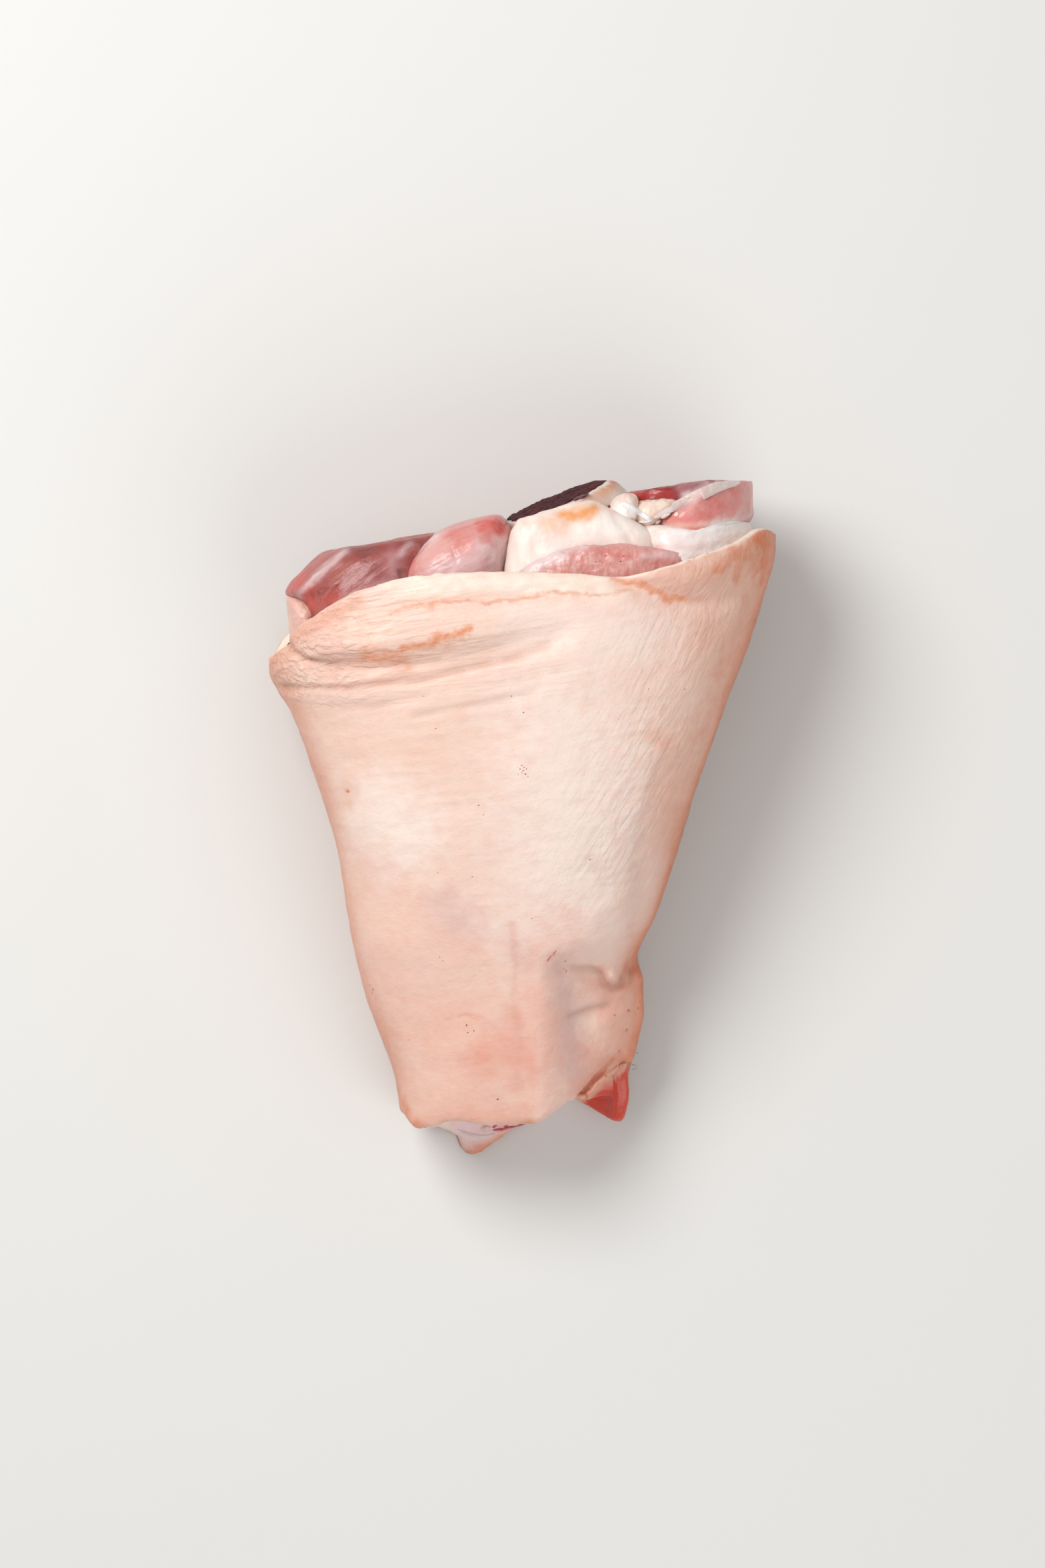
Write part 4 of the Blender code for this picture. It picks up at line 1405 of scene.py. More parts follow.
    def paint_mouths(self, paint: Paint) -> None:
        """Tints the cut edges of the skin and what shows inside them: fat, film, and the flap's raw inside.

        Args:
            paint: The sleeve's paint, which takes the tints.
        """
        points = paint.points
        x, y, _ = points.T
        entered = np.clip(self.step, 0, 1)
        at_hem = smooth_step(*self.inside_reach, np.minimum(self.to_collar, self.to_hock))
        inside = np.clip(np.clip(np.abs(self.step), 0, 1) + at_hem, 0, 1)
        at_hock = (self.along < self.rings_along / 2).astype(float)
        paint.add(Tint.FAT, inside * self.collar_fat * (1 - at_hock))
        tip = nearness(x, y, *self.film_tip) * at_hock
        cream = nearness(x, y, *self.film_cream) * at_hock
        flap = smooth_step(*self.flap_x, x)
        patchy = self.film_share + self.film_patches.at(points)
        film = np.clip(self.step / self.film_from_step, 0, 1) * patchy * at_hock
        paint.add(Tint.FILM, film * (1 - flap) * (1 - tip) * (1 - cream))
        paint.add(Tint.FAT, cream * entered)
        paint.add(Tint.EDGE, self.film_tip_edge * tip)
        paint.add(Tint.EDGE, self.flap_edge * flap * at_hock * inside)
        corner_x, corner_y = self.raw_corner
        behind = y - corner_y - self.raw_slope * (x - corner_x) + self.raw_waver.at(points)
        within = smooth_step(*self.raw_blend, behind) * smooth_step(*self.raw_x, x)
        opened = np.clip(self.step / self.raw_from_step + smooth_step(*self.raw_reach, self.to_hock), 0, 1)
        paint.add(Tint.RAW, opened * within * at_hock)
        flecks = smooth_step(*self.fleck_blend, self.fleck_noise.at(points))
        flecks *= smooth_step(*self.fleck_y, y) * window(self.fleck_x, x)
        paint.add(Tint.RAW, entered * flecks * self.fleck_share)


# ---------------------------------------------------------------------------------------------------------
# The meat, fat and gristle in the sawn end
# ---------------------------------------------------------------------------------------------------------
@dataclass
class Meat:
    """A rounded piece of meat, fat or gristle, whose outline is given as seen from above.

    It lies between low and high, its crown climbs along X and Y by slope, and it is sawn off where it would
    stand out by more than stand_out from the upper saw cut.
    """

    name: str
    outline: Chain
    low: float
    high: float
    finish: FleshFinish
    stains: tuple[Stain, ...] = ()
    folds: tuple[Fold, ...] = ()
    power: float = 2.5
    slope: Pair = (0.0, 0.0)
    stand_out: float = 2.0
    rough: float = 0.35
    lumps: float = 0.08
    grooves: float = 0.2
    segments: int = 180
    rings: int = 120
    saw_y: float = 94.4
    saw_slope: float = 0.154
    saw_softness: float = 1.8
    saw_blend: Pair = (-0.8, 0.8)
    stain_facing: Pair = (-0.6, 0.4)  # stains fade in with how far the surface faces up,
    stain_depth: Pair = (0.3, 0.9)  # and with its height between low and high
    sawn: Array = derived()

    def place(self, segment: Array, ring: Array) -> Array:
        """Where the piece has its points.

        Args:
            segment: Numbers round it, as seen from above.
            ring: Numbers from its crown over its rim to its underside.

        Returns:
            The points, in millimetres.
        """
        rim_x, rim_y = round_outline(self.outline, segment / self.segments)
        middle_x, middle_y = np.array(self.outline).mean(axis=0)
        out, rise = np.sin(np.pi * ring / self.rings), np.cos(np.pi * ring / self.rings)
        reach = np.abs(out) ** (2 / self.power)
        level = np.sign(rise) * np.abs(rise) ** (2 / self.power)
        x = middle_x + (rim_x - middle_x) * reach
        y = middle_y + (rim_y - middle_y) * reach
        tilt = self.slope[0] * (x - middle_x) + self.slope[1] * (y - middle_y)
        z = (self.low + self.high) / 2 + (self.high - self.low) / 2 * level
        z += tilt * np.clip(0.5 + level, 0, 1)
        limit = self.saw_y + self.saw_slope * x + self.stand_out
        self.sawn = smooth_step(*self.saw_blend, y - limit)
        return LEG.tucked(np.stack([x, soft_minimum(y, limit, self.saw_softness), z], axis=-1))

    def build(self) -> bpy.types.Object:
        """Makes the piece.

        Returns:
            The piece.
        """
        mesh = mapped_sphere(self.segments, self.rings, self.place)
        points = points_of(mesh)
        above = smooth_step(*self.stain_facing, normals_of(mesh)[:, 2])
        above *= smooth_step(*self.stain_depth, (points[:, 2] - self.low) / (self.high - self.low))
        shares = (
            (Ripple(self.rough, 7.0, shift=2.2), 1.0),
            (Ripple(self.grooves, 1.7, (6.0, 1.0, 1.0), self.finish.grain_turn, 6.1), 1 - self.sawn),
            (Ripple(0.2, 2.4, shift=4.0), self.sawn),
            (Ripple(self.lumps, 2.8, shift=8.2), 1.0),
            (Ripple(self.lumps / 2, 1.3, shift=8.9), 1.0),
        )
        heights = sum(ripple.at(points) * share for ripple, share in shares)
        heights -= fold_depth(points[:, 0], points[:, 1], self.folds) * above
        push(mesh, heights)
        paint = Paint(points)
        paint.stain(self.stains, above)
        paint.add(Tint.SAWN, self.sawn)
        return finish_piece(mesh, self.name, self.finish.material(), "knuckle", paint)


def oval(middle: Pair, half_sizes: Pair, turn: float, knots: int = 12) -> Chain:
    """An oval outline, turned by degrees."""
    angles = [2 * math.pi * n / knots for n in range(knots)]
    turned = Matrix.Rotation(math.radians(turn), 2)
    spots = [turned @ Vector((half_sizes[0] * math.cos(a), half_sizes[1] * math.sin(a))) for a in angles]
    return tuple((middle[0] + spot.x, middle[1] + spot.y) for spot in spots)


MEAT = (
    Meat("core", oval((2, 58), (72, 38), 8), 5, 69, MUSCLE, power=2.8, stand_out=-6.0, segments=120,
         rings=80),
    Meat("under_left", oval((-27, 62), (28, 30), 6), 4.5, 40.5, MUSCLE, stand_out=-0.7, segments=120,
         rings=80),
    Meat("under_right", oval((14, 70), (30, 28), 8), 4, 32, MUSCLE, stand_out=0.5, segments=120, rings=80),
    Meat("flank_fat", ((-75.4, 69.6), (-74.9, 66.7), (-74.2, 62.9), (-73.8, 57.9), (-72.2, 50.3), (-64, 48),
                       (-61, 56), (-63, 66), (-67, 70), (-72, 71.5)), 11, 60, FAT, power=2.1, stand_out=-6.0,
         slope=(0.3, 0.0), lumps=0.35, stains=(
        Stain(Tint.BLUSH, ((-74, 66), (-72, 54), (-66, 60)), 5.0, 0.8),
        Stain(Tint.BLUSH, ((-75.4, 68.5), (-72, 69)), 2.0, 0.7),
        Stain(Tint.TAN, ((-75.4, 64), (-74.4, 58)), 1.6, 0.3),
    )),
    Meat("flank_muscle", ((-75.6, 70), (-73.9, 72.8), (-69.5, 77.2), (-64.7, 81.8), (-58.6, 87), (-48.7, 91),
                          (-38.9, 93), (-26, 93), (-23.5, 84.8), (-25.2, 72.3), (-32.3, 62.9), (-47, 55.5),
                          (-61.7, 53), (-66.5, 56), (-68.0, 61.8), (-70.5, 66.8)), 5, 72, MUSCLE, power=2.6,
         stand_out=-1.5, slope=(0.12, -0.1), stains=(
        Stain(Tint.RAW, ((-75.4, 69.7), (-73.4, 72.8), (-70.1, 76.1)), 2.4, 1.0),
        Stain(Tint.RAW, ((-70.1, 76.6), (-63.8, 81.4)), 1.8, 0.5),
        Stain(Tint.RAW, ((-67.4, 69.6), (-65.8, 66.5)), 2.4, 0.75),
        Stain(Tint.RAW, ((-64, 66), (-58, 70)), 2.0, 0.35),
        Stain(Tint.RAW, ((-44, 84.6), (-38, 86.4)), 1.4, 0.3),
        Stain(Tint.DARK, ((-55, 84.6), (-49, 83.8), (-43, 84.8), (-34, 88)), 2.4, 0.42),
        # painted shade: darker in a notch of this muscle and in the crevice between it and the oval muscle
        Stain(Tint.DARK, ((-51.8, 82.2), (-49.4, 81.6)), 1.1, 0.3),
        Stain(Tint.DARK, ((-38.2, 70.3), (-38.6, 77.0)), 0.9, 0.6),
        Stain(Tint.FILM, ((-70.4, 68.6), (-69.4, 70.4), (-63.8, 76.2), (-57.5, 81.8), (-55.4, 83.2)), 1.2,
              0.65),
        # painted highlight: a lilac sheen of wet glints low on this muscle
        Stain(Tint.LILAC, ((-53, 67.4), (-46, 70.5), (-39.5, 73)), 3.2, 0.7),
        Stain(Tint.LILAC, ((-41.2, 81.4), (-40.4, 76.5)), 3.0, 0.5),
        Stain(Tint.FILM, ((-38.0, 82.2), (-36, 85.4)), 1.4, 0.5),
    ), folds=(
        Fold(((-50.2, 84.0), (-40, 83.2), (-36, 86)), 1.2, 0.5),
        Fold(((-60, 78), (-52, 72)), 5.0, 0.6),
    )),
    Meat("deep_muscle", ((32.5, 101.3), (33.2, 103), (36.1, 106.5), (45.4, 108.1), (54.8, 109), (63.2, 108),
                         (65.3, 99.6), (58, 92.3), (45.4, 91.2), (35.9, 92.3), (32.3, 96.5)), 17, 65, DEEP,
         power=3.0, stand_out=2.2, stains=(
        Stain(Tint.RAW, ((35, 101.3), (46, 100.6)), 1.8, 0.4),
        Stain(Tint.LILAC, ((49, 103.5), (54, 104.5)), 1.8, 0.35),
        Stain(Tint.FILM, ((51.5, 100.6), (57, 102.8), (64, 104.6)), 1.9, 0.85),
    )),
    Meat("deep_fat", ((35.5, 98.4), (37.4, 99.6), (42.2, 99.9), (46.2, 100.3), (49.9, 99.0), (49.1, 97.0),
                      (44.9, 93.8), (39.7, 90.0), (34.8, 91.2), (32.0, 94.9)), 40, 69, FAT, power=3.4,
         slope=(0.0, -0.2), lumps=0.3, stains=(
        Stain(Tint.BLUSH, ((41, 93.8), (48, 98.5)), 1.0, 0.5),
    )),
    Meat("side_muscle", ((40.7, 91.4), (43.3, 95.2), (47.9, 97.2), (53.6, 99.7), (59.4, 103.3), (65.4, 107.4),
                         (71.4, 108.5), (74.6, 105), (74.8, 98.6), (73.8, 94.4), (67.0, 90.0), (59.8, 87.0),
                         (54, 85.4), (47.9, 86), (43.2, 88.4)), 26, 71.5, SIDE, power=2.9, stand_out=-0.2,
         slope=(0.0, 0.0), stains=(
        Stain(Tint.RAW, ((47.4, 94.0), (53.7, 92.6), (58, 94.5)), 2.2, 0.45),
        Stain(Tint.RAW, ((66, 102.2), (70.5, 101.2)), 2.0, 0.4),
        Stain(Tint.RAW, ((60, 97.5), (70, 99.5), (72.5, 105)), 3.6, 0.3),
        Stain(Tint.PALE, ((66.5, 93.4), (69, 96.5), (70, 100)), 1.0, 0.4),
        Stain(Tint.FILM, ((61, 91.0), (67, 92.4), (73.5, 94.6)), 1.8, 0.85),
        Stain(Tint.RAW, ((73.6, 99.5), (73.0, 103.4)), 1.3, 0.35),
        Stain(Tint.FAT, ((44.4, 90.9), (66.4, 92.6)), 1.0, 0.5),
        Stain(Tint.FILM, ((44.5, 95.3), (54, 99.6), (64.5, 104.6)), 1.0, 0.6),
    )),
    Meat("white_band", ((36.4, 90.2), (41.2, 91.6), (48, 90.9), (54, 90.0), (59.8, 90.9), (66, 91.6),
                        (70.8, 92.4),
                        (74.0, 92.4), (75.6, 90.6), (75.4, 88.1), (73.7, 84), (69.1, 79.8), (59.8, 75.1),
                        (49.6, 75.6), (41.2, 79.2), (37.1, 84)), 45, 76.8, BAND, power=3.1,
                        slope=(0.05, -0.12),
         stand_out=4.0, stains=(
        Stain(Tint.BLUSH, ((42, 85), (52, 84.6), (64, 87.5), (72, 92)), 1.4, 0.22),
        Stain(Tint.BLUSH, ((54, 82), (66, 84)), 2.0, 0.15),
        Stain(Tint.TAN, ((38.4, 88.6), (44, 89.6)), 2.0, 0.2),
    ), folds=(
        Fold(((40, 87.5), (52, 86.8), (62, 88.5), (71, 92.5)), 1.2, 0.3),
        Fold(((42, 84), (54, 83.4), (66, 86)), 1.0, 0.2),
    )),
    Meat("pocket_muscle", ((-4.2, 74.3), (-2.6, 77.8), (1.2, 80.2), (6, 82.4), (11, 84.2), (17.6, 85.5),
                           (24.4, 86.0),
                           (30, 86.2), (37.5, 85.2), (43.3, 84.2), (49, 83.4), (54.0, 82.8), (55.6, 80.4),
                           (54, 77.6),
                           (45.4, 73.3), (37, 69.3), (26.5, 67.2), (13.9, 67.8), (1.3, 69.5)), 52, 79.4,
                           POCKET,
         power=4.4, slope=(0.0, -0.05), lumps=0.3, stains=(
        Stain(Tint.PALE, ((16.5, 80.4), (15.5, 77.1)), 0.9, 0.3),
        Stain(Tint.PALE, ((21.6, 80.8), (21.9, 77.1)), 0.9, 0.35),
        Stain(Tint.PALE, ((27.4, 79.8), (28.6, 77.1)), 0.9, 0.35),
        Stain(Tint.PALE, ((33.6, 80.0), (34.6, 77.6)), 0.9, 0.3),
        Stain(Tint.PALE, ((12, 81.6), (1, 77.4)), 2.6, 0.75),
        Stain(Tint.PALE, ((10, 83.0), (20, 84.8)), 1.4, 0.6),
        Stain(Tint.RAW, ((25.5, 82.2), (33.5, 81.6)), 1.0, 0.35),
        Stain(Tint.FILM, ((-3, 77.0), (5, 80.2), (10, 83)), 1.8, 0.7),
        Stain(Tint.FILM, ((38, 81.6), (50, 82.0)), 1.2, 0.5),
    ), folds=(
        Fold(((18.8, 80.9), (18.0, 76.5)), 0.8, 0.15),
        Fold(((24.4, 81.4), (24.8, 76.5)), 0.8, 0.2),
        Fold(((30.6, 81.2), (31.4, 77)), 0.8, 0.15),
    )),
    Meat("oval_muscle", ((-9.2, 94.7), (-6.5, 94.3), (-4.6, 92.1), (-3.1, 88.5), (-3.0, 84.9), (-3.6, 80.3),
                         (-4.4, 74.9), (-7.6, 68.1), (-17.6, 62.9), (-31.2, 62.4), (-38.6, 67.6), (-39.3, 74),
                         (-38.6, 77.6), (-36.3, 81.1), (-32.2, 85.6), (-27.9, 88.8), (-22.7, 91.3),
                         (-17, 93.2)),
         29.5, 77.5, OVAL, power=2.6, slope=(0.02, -0.06), stand_out=3.0, stains=(
        Stain(Tint.RAW, ((-12.5, 92.4), (-8.2, 92.6), (-7.2, 90.2)), 3.0, 1.0),
        Stain(Tint.RAW, ((-22.6, 89.6), (-12, 93)), 2.2, 0.5),
        Stain(Tint.RAW, ((-18, 87.0), (-10.5, 87.5)), 4.4, 0.3),
        Stain(Tint.RAW, ((-37.0, 75.0), (-34.5, 79.6)), 1.6, 0.35),
        # the lilac and pale film low on this muscle: partly the film's own colour, partly painted sheen and
        # highlight of its wet surface
        Stain(Tint.LILAC, ((-30, 72.4), (-18, 76), (-8.2, 77.7)), 4.6, 0.6),
        Stain(Tint.FILM, ((-6.6, 87.5), (-5.8, 84), (-7.4, 78)), 2.4, 1.0),
        Stain(Tint.FILM, ((-12.5, 84.5), (-9.0, 82.5), (-9, 78)), 2.8, 0.95),
        Stain(Tint.FILM, ((-27, 76.8), (-16, 79.8), (-9, 83)), 3.2, 0.6),
        Stain(Tint.FILM, ((-37.9, 77.8), (-35.3, 81.2), (-31, 85.4), (-27, 88.0)), 0.9, 0.95, 0.2),
        Stain(Tint.FILM, ((-27, 88.0), (-21.6, 90.6), (-15.5, 92.4)), 0.7, 0.5, 0.2),
        # painted shade in the crevice between this muscle and the gristle
        Stain(Tint.DARK, ((-4.0, 80), (-4.4, 74)), 1.0, 0.25),
    ), folds=(
        Fold(((-22, 84), (-20.5, 80)), 0.7, 0.4),
        Fold(((-6.0, 90), (-5.2, 76)), 2.0, 0.5),
    )),
    Meat("gristle", ((-5.4, 74.0), (-5.0, 82.4), (-3.8, 88.7), (-2.4, 91.4), (-1.2, 93.2), (1.2, 94.0),
                     (3.8, 94.7),
                     (6.7, 95.9), (12.6, 97.7), (17.4, 99.0), (20.6, 99.7), (23.5, 98.9), (26.9, 96.9),
                     (30.7, 95.2), (33.6, 93.6), (37, 91.9), (39.6, 89.8), (41.3, 86.2), (42.0, 80.0),
                     (36.1, 79.0),
                     (30.7, 78.4), (24.4, 77.8), (17.6, 76.8), (10.9, 75.4), (5.0, 73.8), (0.6, 72.4)),
         59, 76.2, GRISTLE, power=3.6, slope=(0.0, -0.14), stand_out=2.0, lumps=0.12, grooves=0.08, stains=(
        Stain(Tint.TAN, ((12.5, 93.8), (17, 94.9), (21.6, 96.0)), 2.4, 1.0),
        Stain(Tint.TAN, ((8, 91.6), (13, 91.2)), 2.8, 0.45),
        Stain(Tint.TAN, ((-1, 93.4), (2, 91)), 1.2, 0.3),
        Stain(Tint.BLUSH, ((4, 79.0), (12, 82.6), (20, 85.2), (30, 86.6), (38, 85.8)), 1.8, 0.28),
        Stain(Tint.BLUSH, ((26.3, 97.3), (29, 96)), 1.6, 0.4),
        Stain(Tint.BLUSH, ((34, 89), (38, 84)), 1.0, 0.25),
    ), folds=(
        Fold(((29, 93.6), (33, 88.5), (35.5, 83.5)), 1.6, 0.6),
        Fold(((2, 88), (5, 80)), 2.4, 0.3),
        Fold(((22, 89.5), (28, 87.6), (33, 86.4)), 2.0, 0.25),
    )),
    Meat("gristle_knob", ((27.0, 96.4), (28.4, 99.4), (31.2, 101.4), (34.2, 101.5), (36.6, 99.8),
                          (37.4, 97.2),
                          (37.6, 94.2), (35.8, 92.0), (32.5, 91.2), (28.4, 92.6)), 46, 70.2, GRISTLE,
                          power=3.8,
         rough=0.9, lumps=0.35, slope=(-0.06, -0.28), segments=120, rings=80, stains=(
        Stain(Tint.TAN, ((33, 101.2), (36, 98.5)), 1.2, 0.3),
        Stain(Tint.BLUSH, ((31, 99.4), (33, 100.8)), 1.0, 0.25),
    )),
)


@dataclass
class Blob:
    """A small rounded thing that is half sunk in what lies under it."""

    name: str
    spots: tuple[tuple[float, ...], ...]  # X, Y, half length, half width, turn in degrees
    finish: FleshFinish | PlainFinish
    flatness: float = 0.5  # height over half width
    sink: float = 0.3  # share of the height that lies under the surface
    segments: int = 12
    rings: int = 8
    scale: float = 1.0
    rough: float = 0.18  # the depth and the size of its lumps, over the largest half width
    rough_size: float = 1.2

    def build(self) -> bpy.types.Object:
        """Makes all of the spots as one piece.

        Returns:
            The piece.
        """
        mesh = bmesh.new()
        for x, y, length, width, turn in self.spots:
            place, normal = GROUND.hit(x, y)
            length, width = length * self.scale, width * self.scale
            height = width * self.flatness
            made = bmesh.ops.create_uvsphere(mesh, u_segments=self.segments, v_segments=self.rings,
                                             radius=1.0)
            upright = Vector((0.0, 0.0, 1.0)).rotation_difference(normal).to_matrix().to_4x4()
            lift = Matrix.Translation(place + normal * height * (1 - 2 * self.sink))
            spin = Matrix.Rotation(math.radians(turn), 4, "Z")
            sizes = Matrix.Diagonal((length, width, height, 1.0))
            bmesh.ops.transform(mesh, matrix=lift @ upright @ spin @ sizes, verts=made["verts"])
        points = points_of(mesh)
        widest = max(width for _, _, _, width, _ in self.spots)
        mesh.normal_update()
        push(mesh, Ripple(self.rough * widest, self.rough_size * widest, shift=7.0).at(points))
        return finish_piece(mesh, self.name, self.finish.material(), "knuckle")


@dataclass
class Strand:
    """A thin string or band of tissue that lies along a chain of points."""

    name: str
    chain: Chain
    half_width: float
    half_height: float
    finish: FleshFinish | PlainFinish
    lift: float = 0.3
    reach: float = 0.0
    segments: int = 24
    rings: int = 90
    blunt: float = 6.0
    levelling: int = 6  # its height is the mean of this many rings on either side
    lumps: Ripple = Ripple(0.3, 2.0, (3.0, 1.0, 1.0), 25.0, 3.0)  # over its half height

    def place(self, segment: Array, ring: Array) -> Array:
        """Where the strand has its points.

        Args:
            segment: Numbers round it.
            ring: Numbers along it.

        Returns:
            The points, in millimetres.
        """
        table = np.array(self.chain)
        knots = np.arange(len(table)) / (len(table) - 1)
        stations = np.linspace(0, 1, self.rings + 1)
        x = Spline(np.stack([knots, table[:, 0]], axis=-1))(stations)
        y = Spline(np.stack([knots, table[:, 1]], axis=-1))(stations)
        z = np.array([GROUND.top(px, py, self.reach) for px, py in zip(x, y)]) + self.lift
        span = 2 * self.levelling + 1
        z = np.convolve(np.pad(z, self.levelling, mode="edge"), np.ones(span) / span, mode="valid")
        dx, dy = np.gradient(x), np.gradient(y)
        length = np.hypot(dx, dy)
        at = ring.astype(int)
        taper = np.sqrt(np.clip(1 - np.abs(2 * stations - 1) ** self.blunt, 0, 1))[at]
        angle = 2 * np.pi * segment / self.segments
        out = np.cos(angle) * self.half_width * taper
        return np.stack([x[at] - dy[at] / length[at] * out, y[at] + dx[at] / length[at] * out,
                         z[at] + np.sin(angle) * self.half_height * taper], axis=-1)

    def build(self) -> bpy.types.Object:
        """Makes the strand.

        Returns:
            The piece.
        """
        mesh = mapped_sphere(self.segments, self.rings, self.place)
        points = points_of(mesh)
        push(mesh, self.half_height * self.lumps.at(points))
        return finish_piece(mesh, self.name, self.finish.material(), "knuckle")


STRANDS = (
    Strand("fascia_band", ((41.0, 93.4), (49.8, 98.2), (56.3, 101.1), (61.5, 103.4), (68.6, 105.0)), 1.9,
           0.55, FASCIA,
           reach=0.8, lift=-0.05, blunt=1.6),
    Strand("tendon", ((31.2, 98.2), (33.8, 96.9), (37, 94.9), (40.4, 92.8)), 0.85, 0.3, TENDON, reach=0.4,
           lift=0.05),
    Strand("film_fold", ((-20.5, -99.0), (-16.5, -100.6), (-12.5, -101.2), (-8.5, -100.4)), 0.5, 0.3, FASCIA,
           lift=0.0),
    Strand("film_tear", ((-9.4, -99.2), (-6.6, -99.0), (-3.0, -98.0), (0.8, -97.2)), 0.42, 0.28, TORN,
           lift=0.1),
    Strand("tendon_end", ((36.4, 92.4), (38.4, 92.3), (40.8, 92.9)), 0.4, 0.18, TENDON, reach=0.3, lift=0.05),
)
BLOBS = (
    Blob("fat_nub", ((42.3, 92.5, 1.1, 0.8, 20), (44.8, 94.4, 1.7, 0.7, 30)), FASCIA, segments=20, rings=12,
         flatness=0.7),
    Blob("bone_clot", ((18.5, 99.9, 2.7, 1.6, 18),), CLOT, flatness=0.26, sink=0.1, segments=32, rings=16),
    Blob("film_bits", ((-8.8, -98.0, 0.9, 0.4, 40), (-5.2, -97.9, 0.8, 0.3, 15)), TORN, segments=20,
         rings=12),
    Blob("film_lump", ((-11.6, -98.6, 1.5, 0.7, 8),), FASCIA, segments=24, rings=14),
    Blob("fat_fleck", ((48.2, 94.6, 0.9, 0.8, 0), (52.0, 100.4, 0.9, 0.7, 40)), FAT, segments=16, rings=10,
         flatness=0.3),
    Blob("blood_clot", ((27.3, 97.2, 1.0, 0.5, -40),), BLOOD, flatness=0.6, segments=16, rings=10),
    Blob("pocket_clots", ((22.9, 79.7, 0.35, 0.3, 0), (30.7, 79.9, 0.4, 0.35, 0), (27.5, 79.0, 0.3, 0.25, 0),
                          (26.0, 81.6, 0.5, 0.25, 10), (31.6, 81.6, 0.4, 0.25, 20)), BLOOD, scale=0.55),
)
SKIN_MARKS = (
    Blob("dark_specks", ((-3.5, 37.7, 0.3, 0.22, 0), (0.3, 32.6, 0.3, 0.25, 0), (-27.2, 27.6, 0.22, 0.2, 0),
                         (-13.7, 3.5, 0.32, 0.24, 20), (-12.2, 0.5, 0.22, 0.2, 0),
                         (21.1, -13.5, 0.26, 0.22, 0),
                         (-15.8, -18.8, 0.25, 0.2, 0), (-26.6, -17.7, 0.22, 0.18, 0),
                         (2.9, -32.0, 0.22, 0.2, 0),
                         (-47.0, -54.5, 0.5, 0.32, 60), (-7.8, -88.9, 0.5, 0.3, 20),
                         (50.8, 39.9, 0.24, 0.2, 0),
                         (39.5, 39.9, 0.24, 0.2, 0), (-26.0, -44.2, 0.24, 0.2, 0),
                         (-25.0, -45.3, 0.2, 0.18, 0),
                         (-17.6, -65.6, 0.4, 0.26, 70), (-17.2, -67.9, 0.3, 0.22, 0),
                         (-15.3, -67.3, 0.34, 0.2, 70),
                         (13.4, -45.5, 0.36, 0.28, 90), (-36, -70.3, 0.2, 0.2, 0)), SPECK, flatness=0.3,
                         scale=0.8),
    Blob("red_marks", ((13.7, -48.6, 0.6, 0.16, 60), (13.0, -48.0, 0.4, 0.14, -20),
                       (8.3, -44.6, 1.5, 0.2, 55),
                       (10.0, -42.8, 1.1, 0.15, 60)), SCRATCH, flatness=0.4),
    Blob("pores", ((-0.2, 16.0, 0.28, 0.2, 0), (0.5, 15.4, 0.24, 0.2, 0), (-0.8, 14.9, 0.24, 0.2, 0),
                   (0.2, 14.4, 0.32, 0.24, 0), (1.2, 14.9, 0.24, 0.2, 0), (-0.2, 13.7, 0.24, 0.18, 0),
                   (0.9, 13.3, 0.36, 0.26, 30), (-1.3, 13.2, 0.2, 0.18, 0), (1.7, 12.6, 0.22, 0.18, 0)),
                   SPECK,
         flatness=0.3, scale=0.8),
    Blob("moles", ((33.4, -61.2, 0.62, 0.5, 0), (36.4, -60.4, 0.4, 0.34, 0), (32.8, -67.3, 0.6, 0.36, 30),
                   (30.4, -73.8, 0.4, 0.36, 0), (26.1, -81.7, 0.5, 0.4, 0), (-54.8, 7.9, 0.5, 0.4, 0),
                   (29, -62.5, 0.3, 0.26, 0)), MOLE, flatness=0.35),
    Blob("hem_flecks", ((51.6, 79.9, 0.9, 0.4, 25), (53.4, 80.8, 0.7, 0.4, 40), (57.6, 82.4, 0.6, 0.3, 20)),
         FASCIA,
         flatness=0.5),
)


@dataclass
class Bristles:
    """Short hairs that the scald left on the skin."""

    hairs: tuple[tuple[float, float, float, float], ...] = (  # X, Y, turn in degrees, length
        (-47.4, -55.6, 200, 2.6), (-46.2, -57.2, 215, 2.2), (-47.9, -53.0, 190, 1.8),
        (-44.8, -60.3, 210, 1.6),
        (-52.4, -30.5, 205, 1.2), (-57.6, 4.5, 195, 1.1), (-64.6, 31.5, 200, 1.3), (34.6, -78.4, -20, 2.4),
        (34.9, -80.2, 15, 2.0), (35.9, -74.6, -35, 1.4), (30.8, -50.2, -60, 1.2), (10.5, -86.5, -70, 1.4),
        (22.0, -70.6, -60, 1.2), (12.4, -80.4, -60, 1.2), (3.2, -90.6, -80, 1.2), (-30.8, 37.6, 160, 1.1),
    )
    radius: float = 0.07
    tip: float = 0.3  # the tip's radius over the root's
    rise: float = 0.45  # how steeply a hair stands up
    middle: float = 0.45  # a hair's middle is this share of its length out, so that its root is sunk

    def build(self) -> bpy.types.Object:
        """Makes all of the hairs as one piece.

        Returns:
            The piece.
        """
        mesh = bmesh.new()
        for x, y, turn, length in self.hairs:
            root, _ = GROUND.hit(x, y)
            way = Vector((math.cos(math.radians(turn)), math.sin(math.radians(turn)), self.rise)).normalized()
            made = bmesh.ops.create_cone(mesh, cap_ends=True, segments=6, radius1=self.radius,
                                         radius2=self.radius * self.tip, depth=length)
            upright = way.to_track_quat("Z", "Y").to_matrix().to_4x4()
            lift = Matrix.Translation(root + way * length * self.middle)
            bmesh.ops.transform(mesh, matrix=lift @ upright, verts=made["verts"])
        return finish_piece(mesh, "bristles", BRISTLE.material(), "knuckle")


